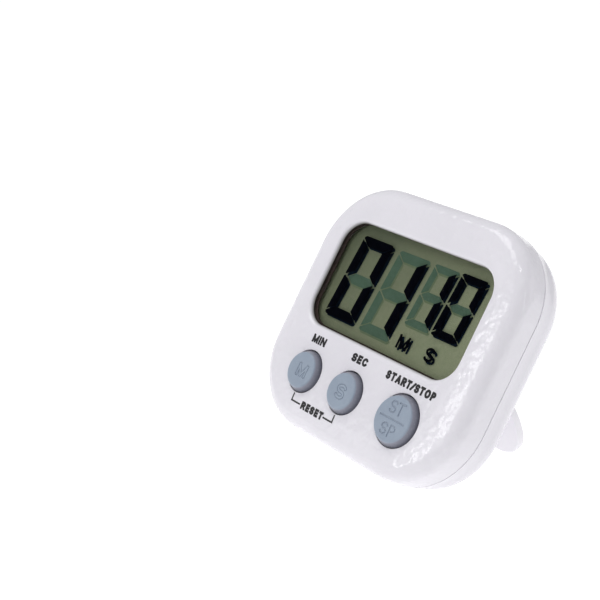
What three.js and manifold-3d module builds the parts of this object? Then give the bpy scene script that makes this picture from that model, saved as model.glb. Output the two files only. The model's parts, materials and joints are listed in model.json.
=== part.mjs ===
// Digital countdown timer with a fold-out stand, leaning back on it.
// Millimetres. Inside the timer group X is to the viewer's right, Y goes back into the body from the
// front face and Z is up along the face. The group leans back until it rests on the floor, Z = 0.

import * as THREE from 'three';
import { mergeVertices } from 'three/addons/utils/BufferGeometryUtils.js';
import Module from 'manifold-3d';

const wasm = await Module();
wasm.setup();

// ---------------------------------------------------------------- driving dimensions

const WIDTH = 70;
const HEIGHT = 64;
const DEPTH = 18.5;
const CORNER = 18.8;
const FRONT_FILLET = 4;
const BACK_FILLET = 6;
const BACK_DRAFT = 0.8;
const WALL = 1.8;
const PARTING = 8.3;
const SEAM_GAP = 0.3;
const SEAM_STEP = 0.04;               // how far the rear shell lies in from the front one at the seam
const LEAN = THREE.MathUtils.degToRad(32.7);

const DISPLAY_Z = 7.5;
const WINDOW = { halfWidth: 26.75, halfHeight: 14, corner: 6.3, lip: 1.2 };
const LENS_POCKET = { halfWidth: 28.2, halfHeight: 15.6, corner: 7, front: 1.2 };

const KEY_Z = -18.55;
const KEY_PROUD = 1.6;
const KEYS = [
  { name: 'min', x: -17.3, holeRadius: 5.6 },
  { name: 'sec', x: -1.35, holeRadius: 5.6 },
  { name: 'start_stop', x: 17.5, holeRadius: 6.6 },
];

const BOARD = { front: 6, back: 7, halfWidth: 25.5, top: 22.5, bottom: -28, corner: 8 };
const BOARD_TAB = { halfWidth: 5, top: 29 };

const HOUSING_SCREWS = [
  { name: 'housing_screw_top_left', x: -16, z: 26.1 },
  { name: 'housing_screw_top_right', x: 16, z: 26.1 },
  { name: 'housing_screw_bottom_left', x: -29, z: -13 },
  { name: 'housing_screw_bottom_right', x: 29, z: -13 },
];
const BOARD_SCREWS = [
  { name: 'board_screw_left', x: -9.3, z: -26.2 },
  { name: 'board_screw_right', x: 7.5, z: -26.2 },
  { name: 'board_screw_top', x: 0, z: 26.3 },
];

const BATTERY = { z: 16.2, radius: 5.8, front: 9.9, back: 15.3 };
const WELL = { innerRadius: 6.6, outerRadius: 9, front: 8.5, floor: 9.3 };
const DOOR = { radius: 8.6, front: 17.5, back: 18.4, edge: 0.3, hubRadius: 6.2, hubFront: 15.6 };
const DOOR_SEAT = { gap: 0.3, floor: 17.3 };
const DOOR_LUG = { radius: 7.5, back: 16.4, halfAngle: Math.PI / 9 };
const DOOR_TURN = Math.PI / 3;
const MAGNET = { x: 18, z: 15.5, radius: 5, front: 16.7, back: 18.6 };
const BUZZER = { z: -9, plateRadius: 13.5, ceramicRadius: 10, front: 13.7, thickness: 0.2 };

const HINGE = { y: 16.9, z: 4, barrelRadius: 1.3, pegRadius: 0.9, pegReach: 1.4 };
const STAND = {
  length: 29.5,
  thickness: 2,
  front: -0.7,
  rootHalfWidth: 16,
  footHalfWidth: 24.5,
  footCorner: 8.5,
  edgeRound: 0.5,
};
const RECESS = { gap: 0.4, floor: 15.9, grooveFloor: 15.3, backing: 14.5 };

const PAST = 1;                       // how far a cutting tool runs past the face it cuts
const BITE = 0.5;                     // how far joined shapes run into each other

// ---------------------------------------------------------------- materials

const finish = (color, roughness, metalness = 0) => (
  () => new THREE.MeshStandardMaterial({ color, roughness, metalness })
);
const whitePlastic = finish(0xe9e8ee, 0.25);
const keyRubber = finish(0x9aa8b6, 0.6);
const carbonRubber = finish(0x1d1d1f, 0.9);
const blackFoam = finish(0x1c1714, 0.8);
const clearPlastic = finish(0xdfe6e2, 0.05);
const displayGlass = finish(0x7c8266, 0.15);
const foil = finish(0xb9bdb4, 0.3, 0.6);
const darkPlastic = finish(0x2a2a2c, 0.6);
const boardLaminate = finish(0x2f6b3d, 0.5);
const epoxy = finish(0x101012, 0.4);
const steel = finish(0xb8babd, 0.3, 1);
const ceramic = finish(0xd9d2bf, 0.5);
const brass = finish(0xc9a24a, 0.3, 1);
const redInsulation = finish(0xb02a24, 0.5);
const blackInsulation = finish(0x1b1b1d, 0.5);

// ---------------------------------------------------------------- outlines

// A rectangle with round corners, counter-clockwise as the viewer sees it.
function roundedRectangle({ halfWidth, halfHeight, corner, x = 0, z = 0, steps = 7 }) {
  const points = [];
  [[1, 1], [-1, 1], [-1, -1], [1, -1]].forEach(([sideX, sideZ], quarter) => {
    const centreX = x + sideX * (halfWidth - corner);
    const centreZ = z + sideZ * (halfHeight - corner);
    for (let step = 0; step <= steps; step += 1) {
      const angle = (quarter + step / steps) * Math.PI / 2;
      points.push(new THREE.Vector2(
        centreX + corner * Math.cos(angle),
        centreZ + corner * Math.sin(angle),
      ));
    }
  });
  return points;
}

// The housing's outline, moved in by an inset.
const bodyOutline = (inset) => roundedRectangle({
  halfWidth: WIDTH / 2 - inset,
  halfHeight: HEIGHT / 2 - inset,
  corner: CORNER - inset,
});

const displayOutline = ({ halfWidth, halfHeight, corner, grow = 0, x = 0, z = DISPLAY_Z }) => (
  roundedRectangle({
    halfWidth: halfWidth + grow,
    halfHeight: halfHeight + grow,
    corner: corner + grow,
    x,
    z,
  })
);

// A sector of a disc about (x, z), for the battery door's lugs.
function sector({ radius, innerRadius, middle, halfAngle, z, steps = 6 }) {
  const at = (r, angle) => new THREE.Vector2(r * Math.cos(angle), z + r * Math.sin(angle));
  const points = [];
  for (let step = 0; step <= steps; step += 1) {
    points.push(at(radius, middle + halfAngle * (2 * step / steps - 1)));
  }
  points.push(at(innerRadius, middle + halfAngle), at(innerRadius, middle - halfAngle));
  return points;
}

// The stand seen from the back, its hinge axis at z = 0. It flares from the hinge to the foot.
function standOutline(grow = 0, top = 0) {
  const root = STAND.rootHalfWidth + grow;
  const foot = STAND.footHalfWidth + grow;
  const radius = STAND.footCorner + grow;
  const cornerX = STAND.footHalfWidth - STAND.footCorner;
  const cornerZ = STAND.footCorner - STAND.length;
  const shape = new THREE.Shape();
  shape.moveTo(-root, top);
  shape.bezierCurveTo(-root, cornerZ / 3, -foot, cornerZ / 2, -foot, cornerZ);
  shape.absarc(-cornerX, cornerZ, radius, Math.PI, 1.5 * Math.PI, false);
  shape.absarc(cornerX, cornerZ, radius, 1.5 * Math.PI, 2 * Math.PI, false);
  shape.bezierCurveTo(foot, cornerZ / 2, root, cornerZ / 3, root, top);
  return shape.getPoints(4);
}

// ---------------------------------------------------------------- solids

// A closed body through outlines of equal point count, each at its own depth, front to back.
function loft(sections) {
  const count = sections[0].outline.length;
  const positions = sections.flatMap(({ y, outline }) => outline.flatMap((p) => [p.x, y, p.y]));
  const index = [];
  for (let ring = 0; ring < sections.length - 1; ring += 1) {
    for (let i = 0; i < count; i += 1) {
      const a = ring * count + i;
      const b = ring * count + (i + 1) % count;
      index.push(a, a + count, b, b, a + count, b + count);
    }
  }
  const last = (sections.length - 1) * count;
  for (let i = 1; i < count - 1; i += 1) {
    index.push(0, i, i + 1);
    index.push(last, last + i + 1, last + i);
  }
  const geometry = new THREE.BufferGeometry();
  geometry.setAttribute('position', new THREE.Float32BufferAttribute(positions, 3));
  geometry.setIndex(index);
  return geometry;
}

// A flat piece of any outline between two depths, its edges rounded where asked.
function plate(outline, front, back, { holes = [], round = 0 } = {}) {
  const shape = new THREE.Shape(outline);
  holes.forEach((hole) => shape.holes.push(new THREE.Path(hole)));
  const geometry = new THREE.ExtrudeGeometry(shape, {
    depth: back - front - 2 * round,
    bevelEnabled: round > 0,
    bevelThickness: round,
    bevelSize: round,
    bevelOffset: -round,
    bevelSegments: 2,
  });
  return geometry.rotateX(Math.PI / 2).translate(0, back - round, 0);
}

const block = (x0, x1, y0, y1, z0, z1) => (
  new THREE.BoxGeometry(x1 - x0, y1 - y0, z1 - z0)
    .translate((x0 + x1) / 2, (y0 + y1) / 2, (z0 + z1) / 2)
);

// A round bar along Y.
const rod = (radius, front, back, { x = 0, z = 0, steps = 24 } = {}) => (
  new THREE.CylinderGeometry(radius, radius, back - front, steps).translate(x, (front + back) / 2, z)
);

// A round bar along X.
const axle = (radius, left, right, { y = 0, z = 0, steps = 16 } = {}) => (
  new THREE.CylinderGeometry(radius, radius, right - left, steps)
    .rotateZ(Math.PI / 2)
    .translate((left + right) / 2, y, z)
);

// A turned piece about an axis along Y. Its profile's points are [radius, depth], front to back.
function turned(profile, { x = 0, z = 0, steps = 24 } = {}) {
  const points = profile.map(([radius, depth]) => new THREE.Vector2(radius, depth));
  return toGeometry(toSolid(new THREE.LatheGeometry(points, steps).translate(x, 0, z)));
}

// An insulated wire along a smooth curve through a few points.
function wire(radius, points) {
  const SIDES_PER_HALF = 3;
  const STEPS_PER_SPAN = 4;
  const section = new THREE.Shape();
  section.absarc(0, 0, radius, 0, 2 * Math.PI, false);
  const route = new THREE.CatmullRomCurve3(points.map((point) => new THREE.Vector3(...point)));
  return new THREE.ExtrudeGeometry(section, {
    steps: STEPS_PER_SPAN * (points.length - 1),
    curveSegments: SIDES_PER_HALF,
    extrudePath: route,
  });
}

function toSolid(geometry) {
  const bare = geometry.clone();
  bare.deleteAttribute('normal');
  bare.deleteAttribute('uv');
  const merged = mergeVertices(bare, 1e-4);
  const triangles = [];
  for (let i = 0; i < merged.index.count; i += 3) {
    const [a, b, c] = [0, 1, 2].map((corner) => merged.index.getX(i + corner));
    if (a !== b && b !== c && c !== a) {
      triangles.push(a, b, c);
    }
  }
  return new wasm.Manifold(new wasm.Mesh({
    numProp: 3,
    vertProperties: new Float32Array(merged.attributes.position.array),
    triVerts: new Uint32Array(triangles),
  }));
}

function toGeometry(solid) {
  const { vertProperties, triVerts } = solid.getMesh();
  const geometry = new THREE.BufferGeometry();
  geometry.setAttribute('position', new THREE.BufferAttribute(new Float32Array(vertProperties), 3));
  geometry.setIndex(new THREE.BufferAttribute(new Uint32Array(triVerts), 1));
  return geometry;
}

const joined = (...geometries) => (
  toGeometry(geometries.map(toSolid).reduce((sum, solid) => sum.add(solid)))
);

const cut = (geometry, ...tools) => (
  toGeometry(tools.map(toSolid).reduce((rest, tool) => rest.subtract(tool), toSolid(geometry)))
);

// ---------------------------------------------------------------- shells

// Sections of a quarter-round edge, from the flat end face to the side wall or back again.
function filletSections({ radius, inset = 0, steps, depthAt }) {
  return Array.from({ length: steps + 1 }, (_, step) => {
    const angle = step / steps * Math.PI / 2;
    return {
      y: depthAt(radius * (1 - Math.cos(angle))),
      outline: bodyOutline(inset + radius * (1 - Math.sin(angle))),
    };
  });
}

const SCREW_POST = { radius: 2.5, pilot: 1.05, pilotFront: 3.2, back: 8.6 };
const BOARD_POST = { radius: 2.2, pilot: 0.9, pilotFront: 2.6, back: 5.7 };

// The tool that cuts the display opening and rounds its outer edge.
function windowCutter() {
  const LIP_STEPS = 4;
  const sections = [{ y: -PAST, outline: displayOutline({ ...WINDOW, grow: WINDOW.lip }) }];
  for (let step = 0; step <= LIP_STEPS; step += 1) {
    const angle = step / LIP_STEPS * Math.PI / 2;
    sections.push({
      y: WINDOW.lip * (1 - Math.cos(angle)),
      outline: displayOutline({ ...WINDOW, grow: WINDOW.lip * (1 - Math.sin(angle)) }),
    });
  }
  sections.push({ y: WALL + PAST, outline: displayOutline(WINDOW) });
  return loft(sections);
}

function frontHousing() {
  const outside = loft([
    ...filletSections({ radius: FRONT_FILLET, steps: 6, depthAt: (rise) => rise }),
    { y: PARTING - SEAM_GAP / 2, outline: bodyOutline(0) },
  ]);
  const hollow = loft([
    ...filletSections({
      radius: FRONT_FILLET - WALL, inset: WALL, steps: 3, depthAt: (rise) => WALL + rise,
    }),
    { y: PARTING + PAST, outline: bodyOutline(WALL) },
  ]);
  const openings = [
    windowCutter(),
    plate(displayOutline(LENS_POCKET), LENS_POCKET.front, WALL + PAST),
    ...KEYS.map(({ x, holeRadius }) => rod(holeRadius, -PAST, WALL + PAST, { x, z: KEY_Z })),
  ];
  const post = ({ radius, back }) => ({ x, z }) => rod(radius, WALL - BITE, back, { x, z });
  const pilot = (size) => ({ x, z }) => (
    rod(size.pilot, size.pilotFront, size.back + PAST, { x, z, steps: 12 })
  );
  return cut(
    joined(
      cut(outside, hollow, ...openings),
      ...HOUSING_SCREWS.map(post(SCREW_POST)),
      ...BOARD_SCREWS.map(post(BOARD_POST)),
    ),
    ...HOUSING_SCREWS.map(pilot(SCREW_POST)),
    ...BOARD_SCREWS.map(pilot(BOARD_POST)),
  );
}

const TONGUE = { outerInset: 2.1, innerInset: 3, front: 6.9, rootBack: 9.6 };
const COVER_POST = { radius: 2.8, hole: 1.25, front: 8.9, seat: 12, headHole: 2.2 };
const BUZZER_RING = { outerRadius: 14.8, innerRadius: 12.5, front: 13, seat: 14 };

// The rear shell with the tongue that locates it in the front housing.
function coverShell() {
  const FILLET_STEPS = 6;
  const outside = loft([
    { y: PARTING + SEAM_GAP / 2, outline: bodyOutline(SEAM_STEP) },
    ...filletSections({
      radius: BACK_FILLET, inset: BACK_DRAFT, steps: FILLET_STEPS, depthAt: (rise) => DEPTH - rise,
    }).reverse(),
  ]);
  const tongue = plate(bodyOutline(TONGUE.outerInset), TONGUE.front, PARTING + PAST);
  const mouth = plate(bodyOutline(TONGUE.innerInset), TONGUE.front - PAST, TONGUE.rootBack);
  const hollow = loft([
    { y: TONGUE.rootBack - BITE, outline: bodyOutline(TONGUE.innerInset) },
    ...filletSections({
      radius: BACK_FILLET - WALL,
      inset: BACK_DRAFT + WALL,
      steps: FILLET_STEPS / 2,
      depthAt: (rise) => DEPTH - WALL - rise,
    }).reverse(),
  ]);
  return cut(joined(outside, tongue), mouth, hollow);
}

const placed = (outline, z) => outline.map((point) => new THREE.Vector2(point.x, point.y + z));

// What stands inside the rear shell: the stand recess's floor, the battery well, posts and bosses.
function coverFittings() {
  const inside = DEPTH - WALL + BITE;
  const BACKING_RIM = 1.2;
  const BOSS_RIM = 1.5;
  const recessFloor = plate(
    placed(standOutline(RECESS.gap + BACKING_RIM, HINGE.barrelRadius + RECESS.gap), HINGE.z),
    RECESS.backing,
    inside,
  );
  return [
    recessFloor,
    rod(WELL.outerRadius, WELL.front, inside, { z: BATTERY.z }),
    rod(BUZZER_RING.outerRadius, BUZZER_RING.front, RECESS.backing + BITE, { z: BUZZER.z }),
    ...HOUSING_SCREWS.map(({ x, z }) => rod(COVER_POST.radius, COVER_POST.front, inside, { x, z })),
    ...[-MAGNET.x, MAGNET.x].map((x) => (
      rod(MAGNET.radius + BOSS_RIM, MAGNET.front - WALL, inside, { x, z: MAGNET.z })
    )),
  ];
}

// The stand's place in the back: the recess, the barrel's groove, the peg holes and a finger scoop.
function standPocket() {
  const SCOOP_RADIUS = 9;
  const SCOOP_DEPTH = 1.8;
  const grooveHalf = HINGE.barrelRadius + RECESS.gap;
  const reach = STAND.rootHalfWidth + RECESS.gap;
  const pegEnd = STAND.rootHalfWidth + HINGE.pegReach + RECESS.gap;
  return [
    plate(placed(standOutline(RECESS.gap, grooveHalf), HINGE.z), RECESS.floor, DEPTH + PAST),
    block(-reach, reach, RECESS.grooveFloor, DEPTH + PAST, HINGE.z - grooveHalf, HINGE.z + grooveHalf),
    axle(HINGE.pegRadius + RECESS.gap / 2, -pegEnd, pegEnd, HINGE),
    new THREE.SphereGeometry(SCOOP_RADIUS, 24, 16)
      .translate(0, DEPTH + SCOOP_RADIUS - SCOOP_DEPTH, HINGE.z - STAND.length - PAST),
  ];
}

function speakerHoles() {
  const HOLE_RADIUS = 0.8;
  const RING_RADIUS = 3.6;
  const RING_COUNT = 6;
  const hole = (x, z) => (
    rod(HOLE_RADIUS, RECESS.backing - PAST, RECESS.floor + PAST, { x, z, steps: 12 })
  );
  const ring = Array.from({ length: RING_COUNT }, (_, i) => {
    const angle = i / RING_COUNT * 2 * Math.PI;
    return hole(RING_RADIUS * Math.cos(angle), BUZZER.z + RING_RADIUS * Math.sin(angle));
  });
  return [hole(0, BUZZER.z), ...ring];
}

// The round battery opening: door seat, lug groove, lug notches, cell well and contact slots.
function batteryOpening() {
  const GROOVE = { radius: 7.9, front: 15.4, back: 16.6 };
  const NOTCH_EASE = 1.15;
  const SLOT = { halfWidth: 2.4, height: 0.8 };
  const z = BATTERY.z;
  const notch = (middle) => plate(
    sector({
      radius: GROOVE.radius,
      innerRadius: DOOR.hubRadius - BITE,
      middle,
      halfAngle: DOOR_LUG.halfAngle * NOTCH_EASE,
      z,
    }),
    GROOVE.front,
    DEPTH,
  );
  return [
    rod(WELL.innerRadius, WELL.floor, DEPTH + PAST, { z }),
    rod(GROOVE.radius, GROOVE.front, GROOVE.back, { z }),
    rod(DOOR.radius + DOOR_SEAT.gap, DOOR_SEAT.floor, DEPTH + PAST, { z }),
    notch(-DOOR_TURN),
    notch(Math.PI - DOOR_TURN),
    block(
      -WELL.outerRadius - PAST, WELL.outerRadius + PAST,
      WELL.floor, WELL.floor + SLOT.height,
      z - SLOT.halfWidth, z + SLOT.halfWidth,
    ),
  ];
}

function backCover() {
  const POCKET_GAP = 0.2;
  const buzzerFront = BUZZER_RING.front - PAST;
  const buzzerSeat = [
    rod(BUZZER.plateRadius + POCKET_GAP, buzzerFront, BUZZER_RING.seat, { z: BUZZER.z }),
    rod(BUZZER_RING.innerRadius, buzzerFront, RECESS.backing, { z: BUZZER.z }),
  ];
  const screwHoles = HOUSING_SCREWS.flatMap(({ x, z }) => [
    rod(COVER_POST.hole, COVER_POST.front - PAST, COVER_POST.seat + PAST, { x, z, steps: 12 }),
    rod(COVER_POST.headHole, COVER_POST.seat, DEPTH + PAST, { x, z, steps: 20 }),
  ]);
  const magnetPockets = [-MAGNET.x, MAGNET.x].map((x) => (
    rod(MAGNET.radius + POCKET_GAP, MAGNET.front - POCKET_GAP, DEPTH + PAST, { x, z: MAGNET.z })
  ));
  return cut(
    joined(coverShell(), ...coverFittings()),
    ...buzzerSeat,
    ...screwHoles,
    ...magnetPockets,
    ...batteryOpening(),
    ...standPocket(),
    ...speakerHoles(),
  );
}

// ---------------------------------------------------------------- display

const LENS_GAP = 0.2;
const LENS = { front: 1.3, thickness: 0.4 };
const GASKET = { front: 1.8, thickness: 0.3, overlap: 0.25, shiftX: 0.9, shiftZ: 0.1 };
const GLASS = { halfWidth: 27.5, top: 22.7, bottom: -6.9, ledgeBottom: -9.9, thickness: 0.55 };
const STACK = { frontGlass: 2.2, rearGlass: 2.85, reflector: 3.5, holder: 3.9 };
const REFLECTOR_THICKNESS = 0.2;

const lensOutline = () => displayOutline({ ...LENS_POCKET, grow: -LENS_GAP });

const displayWindow = () => plate(lensOutline(), LENS.front, LENS.front + LENS.thickness);

// A dark frame that shows a little at the left and lower edges of the opening.
function displayGasket() {
  const inner = displayOutline({
    ...WINDOW, grow: -GASKET.overlap, x: GASKET.shiftX, z: DISPLAY_Z + GASKET.shiftZ,
  });
  return plate(lensOutline(), GASKET.front, GASKET.front + GASKET.thickness, { holes: [inner] });
}

const glassSheet = (front, thickness, bottom) => (
  block(-GLASS.halfWidth, GLASS.halfWidth, front, front + thickness, bottom, GLASS.top)
);

function lcdHolder() {
  const RAIL = 2.4;
  const CORNER_RADIUS = 3;
  const BOARD_GAP = 0.3;
  const halfHeight = (GLASS.top - GLASS.bottom) / 2;
  const frame = (grow) => displayOutline({
    halfWidth: GLASS.halfWidth,
    halfHeight,
    corner: CORNER_RADIUS,
    grow,
    z: (GLASS.top + GLASS.bottom) / 2,
  });
  return plate(frame(0), STACK.holder, BOARD.front - BOARD_GAP, { holes: [frame(-RAIL)] });
}

function zebraStrip() {
  const HALF_LENGTH = 25;
  const GAP = 0.1;
  const BOTTOM = -9.6;
  const TOP = -7.5;
  const front = STACK.frontGlass + GLASS.thickness + GAP;
  return block(-HALF_LENGTH, HALF_LENGTH, front, BOARD.front - GAP, BOTTOM, TOP);
}

// ---------------------------------------------------------------- keys

const KEY = {
  capGap: 0.22,
  taper: 0.4,
  rim: 0.2,
  taperBack: 0.2,
  flangeGrow: 0.6,
  flangeFront: 2.3,
  flangeBack: 3.3,
  stemRadius: 3.5,
  stemBack: 4.4,
};
const PILL = { radius: 3, front: 4.5, back: 4.9 };
const MEMBRANE = { front: 5, back: 5.7, ringFront: 2.6, ringGap: 0.4, ringWall: 0.7, stemHole: 4.6 };

function keyCap({ x, holeRadius }) {
  const radius = holeRadius - KEY.capGap;
  const top = radius - KEY.taper;
  const flange = holeRadius + KEY.flangeGrow;
  const profile = [
    [0, -KEY_PROUD],
    [top - KEY.rim, -KEY_PROUD],
    [top, -KEY_PROUD + KEY.rim],
    [radius, KEY.taperBack],
    [radius, KEY.flangeFront],
    [flange, KEY.flangeFront],
    [flange, KEY.flangeBack],
    [KEY.stemRadius, KEY.flangeBack],
    [KEY.stemRadius, KEY.stemBack],
    [0, KEY.stemBack],
  ];
  return turned(profile, { x, z: KEY_Z });
}

const keyPill = ({ x }) => rod(PILL.radius, PILL.front, PILL.back, { x, z: KEY_Z });

// The rubber sheet on the board, with an upright ring around each key and a hole for its stem.
function keyMembrane() {
  const SHEET = { halfWidth: 25, halfHeight: 6.2, corner: 3, z: -17.4 };
  const sheet = plate(roundedRectangle(SHEET), MEMBRANE.front, MEMBRANE.back);
  const ringInner = ({ holeRadius }) => holeRadius + KEY.flangeGrow + MEMBRANE.ringGap;
  const rings = KEYS.map((key) => (
    rod(ringInner(key) + MEMBRANE.ringWall, MEMBRANE.ringFront, MEMBRANE.back,
      { x: key.x, z: KEY_Z })
  ));
  const hollows = KEYS.flatMap((key) => [
    rod(ringInner(key), MEMBRANE.ringFront - PAST, MEMBRANE.front, { x: key.x, z: KEY_Z }),
    rod(MEMBRANE.stemHole, MEMBRANE.front - PAST, MEMBRANE.back + PAST, { x: key.x, z: KEY_Z }),
  ]);
  return cut(joined(sheet, ...rings), ...hollows);
}

// ---------------------------------------------------------------- board and its components

function circuitBoard() {
  const HOLE_RADIUS = 1.2;
  const main = plate(
    roundedRectangle({
      halfWidth: BOARD.halfWidth,
      halfHeight: (BOARD.top - BOARD.bottom) / 2,
      corner: BOARD.corner,
      z: (BOARD.top + BOARD.bottom) / 2,
    }),
    BOARD.front,
    BOARD.back,
  );
  const tab = block(
    -BOARD_TAB.halfWidth, BOARD_TAB.halfWidth, BOARD.front, BOARD.back, BOARD.top - PAST, BOARD_TAB.top,
  );
  const holes = BOARD_SCREWS.map(({ x, z }) => (
    rod(HOLE_RADIUS, BOARD.front - PAST, BOARD.back + PAST, { x, z, steps: 12 })
  ));
  return cut(joined(main, tab), ...holes);
}

const ON_BOARD = BOARD.back + 0.1;

function chipCover() {
  const PLACE = { x: 2, z: -1 };
  const RADIUS = 5.5;
  const SKIRT = 0.3;
  const DOME = 1.2;
  const SHARES = [0.2, 0.45, 0.7];
  const profile = [[0, ON_BOARD], [RADIUS, ON_BOARD]];
  for (const angle of SHARES.map((share) => share * Math.PI / 2)) {
    profile.push([RADIUS * Math.cos(angle), ON_BOARD + SKIRT + DOME * Math.sin(angle)]);
  }
  profile.push([0, ON_BOARD + SKIRT + DOME]);
  return turned(profile, PLACE);
}

const CRYSTAL = { radius: 1, left: -17.5, right: -11.5, y: ON_BOARD + 1.05, z: 2 };
const crystal = () => axle(CRYSTAL.radius, CRYSTAL.left, CRYSTAL.right, CRYSTAL);

const CHIP_PART = { length: 2, thickness: 0.8, height: 1.2 };
const chipPart = (x, z) => block(
  x, x + CHIP_PART.length,
  ON_BOARD, ON_BOARD + CHIP_PART.thickness,
  z, z + CHIP_PART.height,
);

// ---------------------------------------------------------------- buzzer, battery and door

const buzzerPlate = () => (
  rod(BUZZER.plateRadius, BUZZER.front, BUZZER.front + BUZZER.thickness, { z: BUZZER.z })
);

function buzzerCeramic() {
  const GLUE = 0.1;
  const back = BUZZER.front - GLUE;
  return rod(BUZZER.ceramicRadius, back - BUZZER.thickness, back, { z: BUZZER.z });
}

function batteryCell() {
  const RIM = 0.5;
  const STEP_RADIUS = 4.6;
  return turned([
    [0, BATTERY.front],
    [STEP_RADIUS, BATTERY.front],
    [STEP_RADIUS, BATTERY.front + RIM / 2],
    [BATTERY.radius - RIM / 2, BATTERY.front + RIM / 2],
    [BATTERY.radius, BATTERY.front + RIM],
    [BATTERY.radius, BATTERY.back - RIM / 2],
    [BATTERY.radius - RIM / 2, BATTERY.back],
    [0, BATTERY.back],
  ], { z: BATTERY.z });
}

// A strip bent along a line of [x, y] points, with its width along Z.
function strip(line, thickness, halfWidth) {
  const points = [...line, ...line.map(([x, y]) => [x, y + thickness]).reverse()];
  const shape = new THREE.Shape(points.map(([x, y]) => new THREE.Vector2(x, y)));
  return new THREE.ExtrudeGeometry(shape, { depth: 2 * halfWidth, bevelEnabled: false })
    .translate(0, 0, BATTERY.z - halfWidth);
}

const CONTACT = { foot: 9.45, thickness: 0.15, halfWidth: 2, reach: 11 };

// A strip that lies on the well's floor and bulges towards the cell.
function batterySpring() {
  const BULGE = { y: 9.65, halfTop: 1, halfFoot: 4 };
  return strip(
    [
      [-CONTACT.reach, CONTACT.foot],
      [-BULGE.halfFoot, CONTACT.foot],
      [-BULGE.halfTop, BULGE.y],
      [BULGE.halfTop, BULGE.y],
      [BULGE.halfFoot, CONTACT.foot],
    ],
    CONTACT.thickness,
    CONTACT.halfWidth,
  );
}

// The other contact lies on the well's floor and stands up beside the cell.
function batteryContact() {
  const SIDE_X = 6.1;
  const SIDE_BACK = 13.6;
  const foot = block(
    SIDE_X, CONTACT.reach,
    CONTACT.foot, CONTACT.foot + CONTACT.thickness,
    BATTERY.z - CONTACT.halfWidth, BATTERY.z + CONTACT.halfWidth,
  );
  const side = block(
    SIDE_X, SIDE_X + CONTACT.thickness,
    CONTACT.foot, SIDE_BACK,
    BATTERY.z - CONTACT.halfWidth / 2, BATTERY.z + CONTACT.halfWidth / 2,
  );
  return joined(foot, side);
}

function batteryDoor() {
  const COIN_SLOT = { halfLength: 5, halfWidth: 0.9, depth: 0.7 };
  const z = BATTERY.z;
  const disc = turned([
    [0, DOOR.front],
    [DOOR.radius, DOOR.front],
    [DOOR.radius, DOOR.back - DOOR.edge],
    [DOOR.radius - DOOR.edge, DOOR.back],
    [0, DOOR.back],
  ], { z, steps: 32 });
  const hub = rod(DOOR.hubRadius, DOOR.hubFront, DOOR.front + BITE, { z });
  const lug = (middle) => plate(
    sector({
      radius: DOOR_LUG.radius,
      innerRadius: DOOR.hubRadius - PAST,
      middle,
      halfAngle: DOOR_LUG.halfAngle,
      z,
    }),
    DOOR.hubFront,
    DOOR_LUG.back,
  );
  const slot = block(
    -COIN_SLOT.halfLength, COIN_SLOT.halfLength,
    DOOR.back - COIN_SLOT.depth, DOOR.back + PAST,
    z - COIN_SLOT.halfWidth, z + COIN_SLOT.halfWidth,
  );
  return cut(joined(disc, hub, lug(0), lug(Math.PI)), slot);
}

const magnet = (x) => rod(MAGNET.radius, MAGNET.front, MAGNET.back, { x, z: MAGNET.z });

// ---------------------------------------------------------------- stand and screws

// The stand about its own hinge axis, folded flat: its foot towards -Z.
function standLeg() {
  const leg = plate(
    standOutline(), STAND.front, STAND.front + STAND.thickness, { round: STAND.edgeRound },
  );
  const pegEnd = STAND.rootHalfWidth + HINGE.pegReach;
  return joined(
    leg,
    axle(HINGE.barrelRadius, -STAND.rootHalfWidth, STAND.rootHalfWidth),
    axle(HINGE.pegRadius, -pegEnd, pegEnd),
  );
}

function screw({ x, z, tip, seat, shankRadius, headRadius, headHeight }) {
  const DRIVE = { halfLength: 1.1, halfWidth: 0.25, depth: 0.6 };
  const TIP = { share: 0.4, length: 1 };
  const EDGE = { along: 0.4, across: 0.5 };
  const back = seat + headHeight;
  const body = turned([
    [0, tip],
    [shankRadius * TIP.share, tip],
    [shankRadius, tip + TIP.length],
    [shankRadius, seat],
    [headRadius, seat],
    [headRadius, back - EDGE.along],
    [headRadius - EDGE.across, back],
    [0, back],
  ], { x, z, steps: 12 });
  const slots = [
    [DRIVE.halfLength, DRIVE.halfWidth],
    [DRIVE.halfWidth, DRIVE.halfLength],
  ].map(([halfX, halfZ]) => (
    block(x - halfX, x + halfX, back - DRIVE.depth, back + PAST, z - halfZ, z + halfZ)
  ));
  return cut(body, ...slots);
}

const housingScrew = (place) => screw({
  ...place, tip: 4.2, seat: COVER_POST.seat + 0.1, shankRadius: 0.85, headRadius: 1.8, headHeight: 1.2,
});
const boardScrew = (place) => screw({
  ...place, tip: 3.4, seat: BOARD.back + 0.2, shankRadius: 0.7, headRadius: 1.7, headHeight: 0.9,
});

// ---------------------------------------------------------------- assembly

const timer = new THREE.Group();
timer.rotation.x = -LEAN;
const standGroup = new THREE.Group();
standGroup.position.set(0, HINGE.y, HINGE.z);
timer.add(standGroup);

function addPiece(name, geometry, material, parent = timer) {
  const mesh = new THREE.Mesh(geometry, material);
  mesh.name = name;
  parent.add(mesh);
}

addPiece('front_housing', frontHousing(), whitePlastic());
addPiece('back_cover', backCover(), whitePlastic());
addPiece('display_window', displayWindow(), clearPlastic());
addPiece('display_gasket', displayGasket(), blackFoam());
const frontGlass = glassSheet(STACK.frontGlass, GLASS.thickness, GLASS.ledgeBottom);
const rearGlass = glassSheet(STACK.rearGlass, GLASS.thickness, GLASS.bottom);
const reflector = glassSheet(STACK.reflector, REFLECTOR_THICKNESS, GLASS.bottom);
addPiece('lcd_front_glass', frontGlass, displayGlass());
addPiece('lcd_rear_glass', rearGlass, displayGlass());
addPiece('lcd_reflector', reflector, foil());
addPiece('lcd_holder', lcdHolder(), darkPlastic());
addPiece('zebra_strip', zebraStrip(), carbonRubber());

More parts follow.
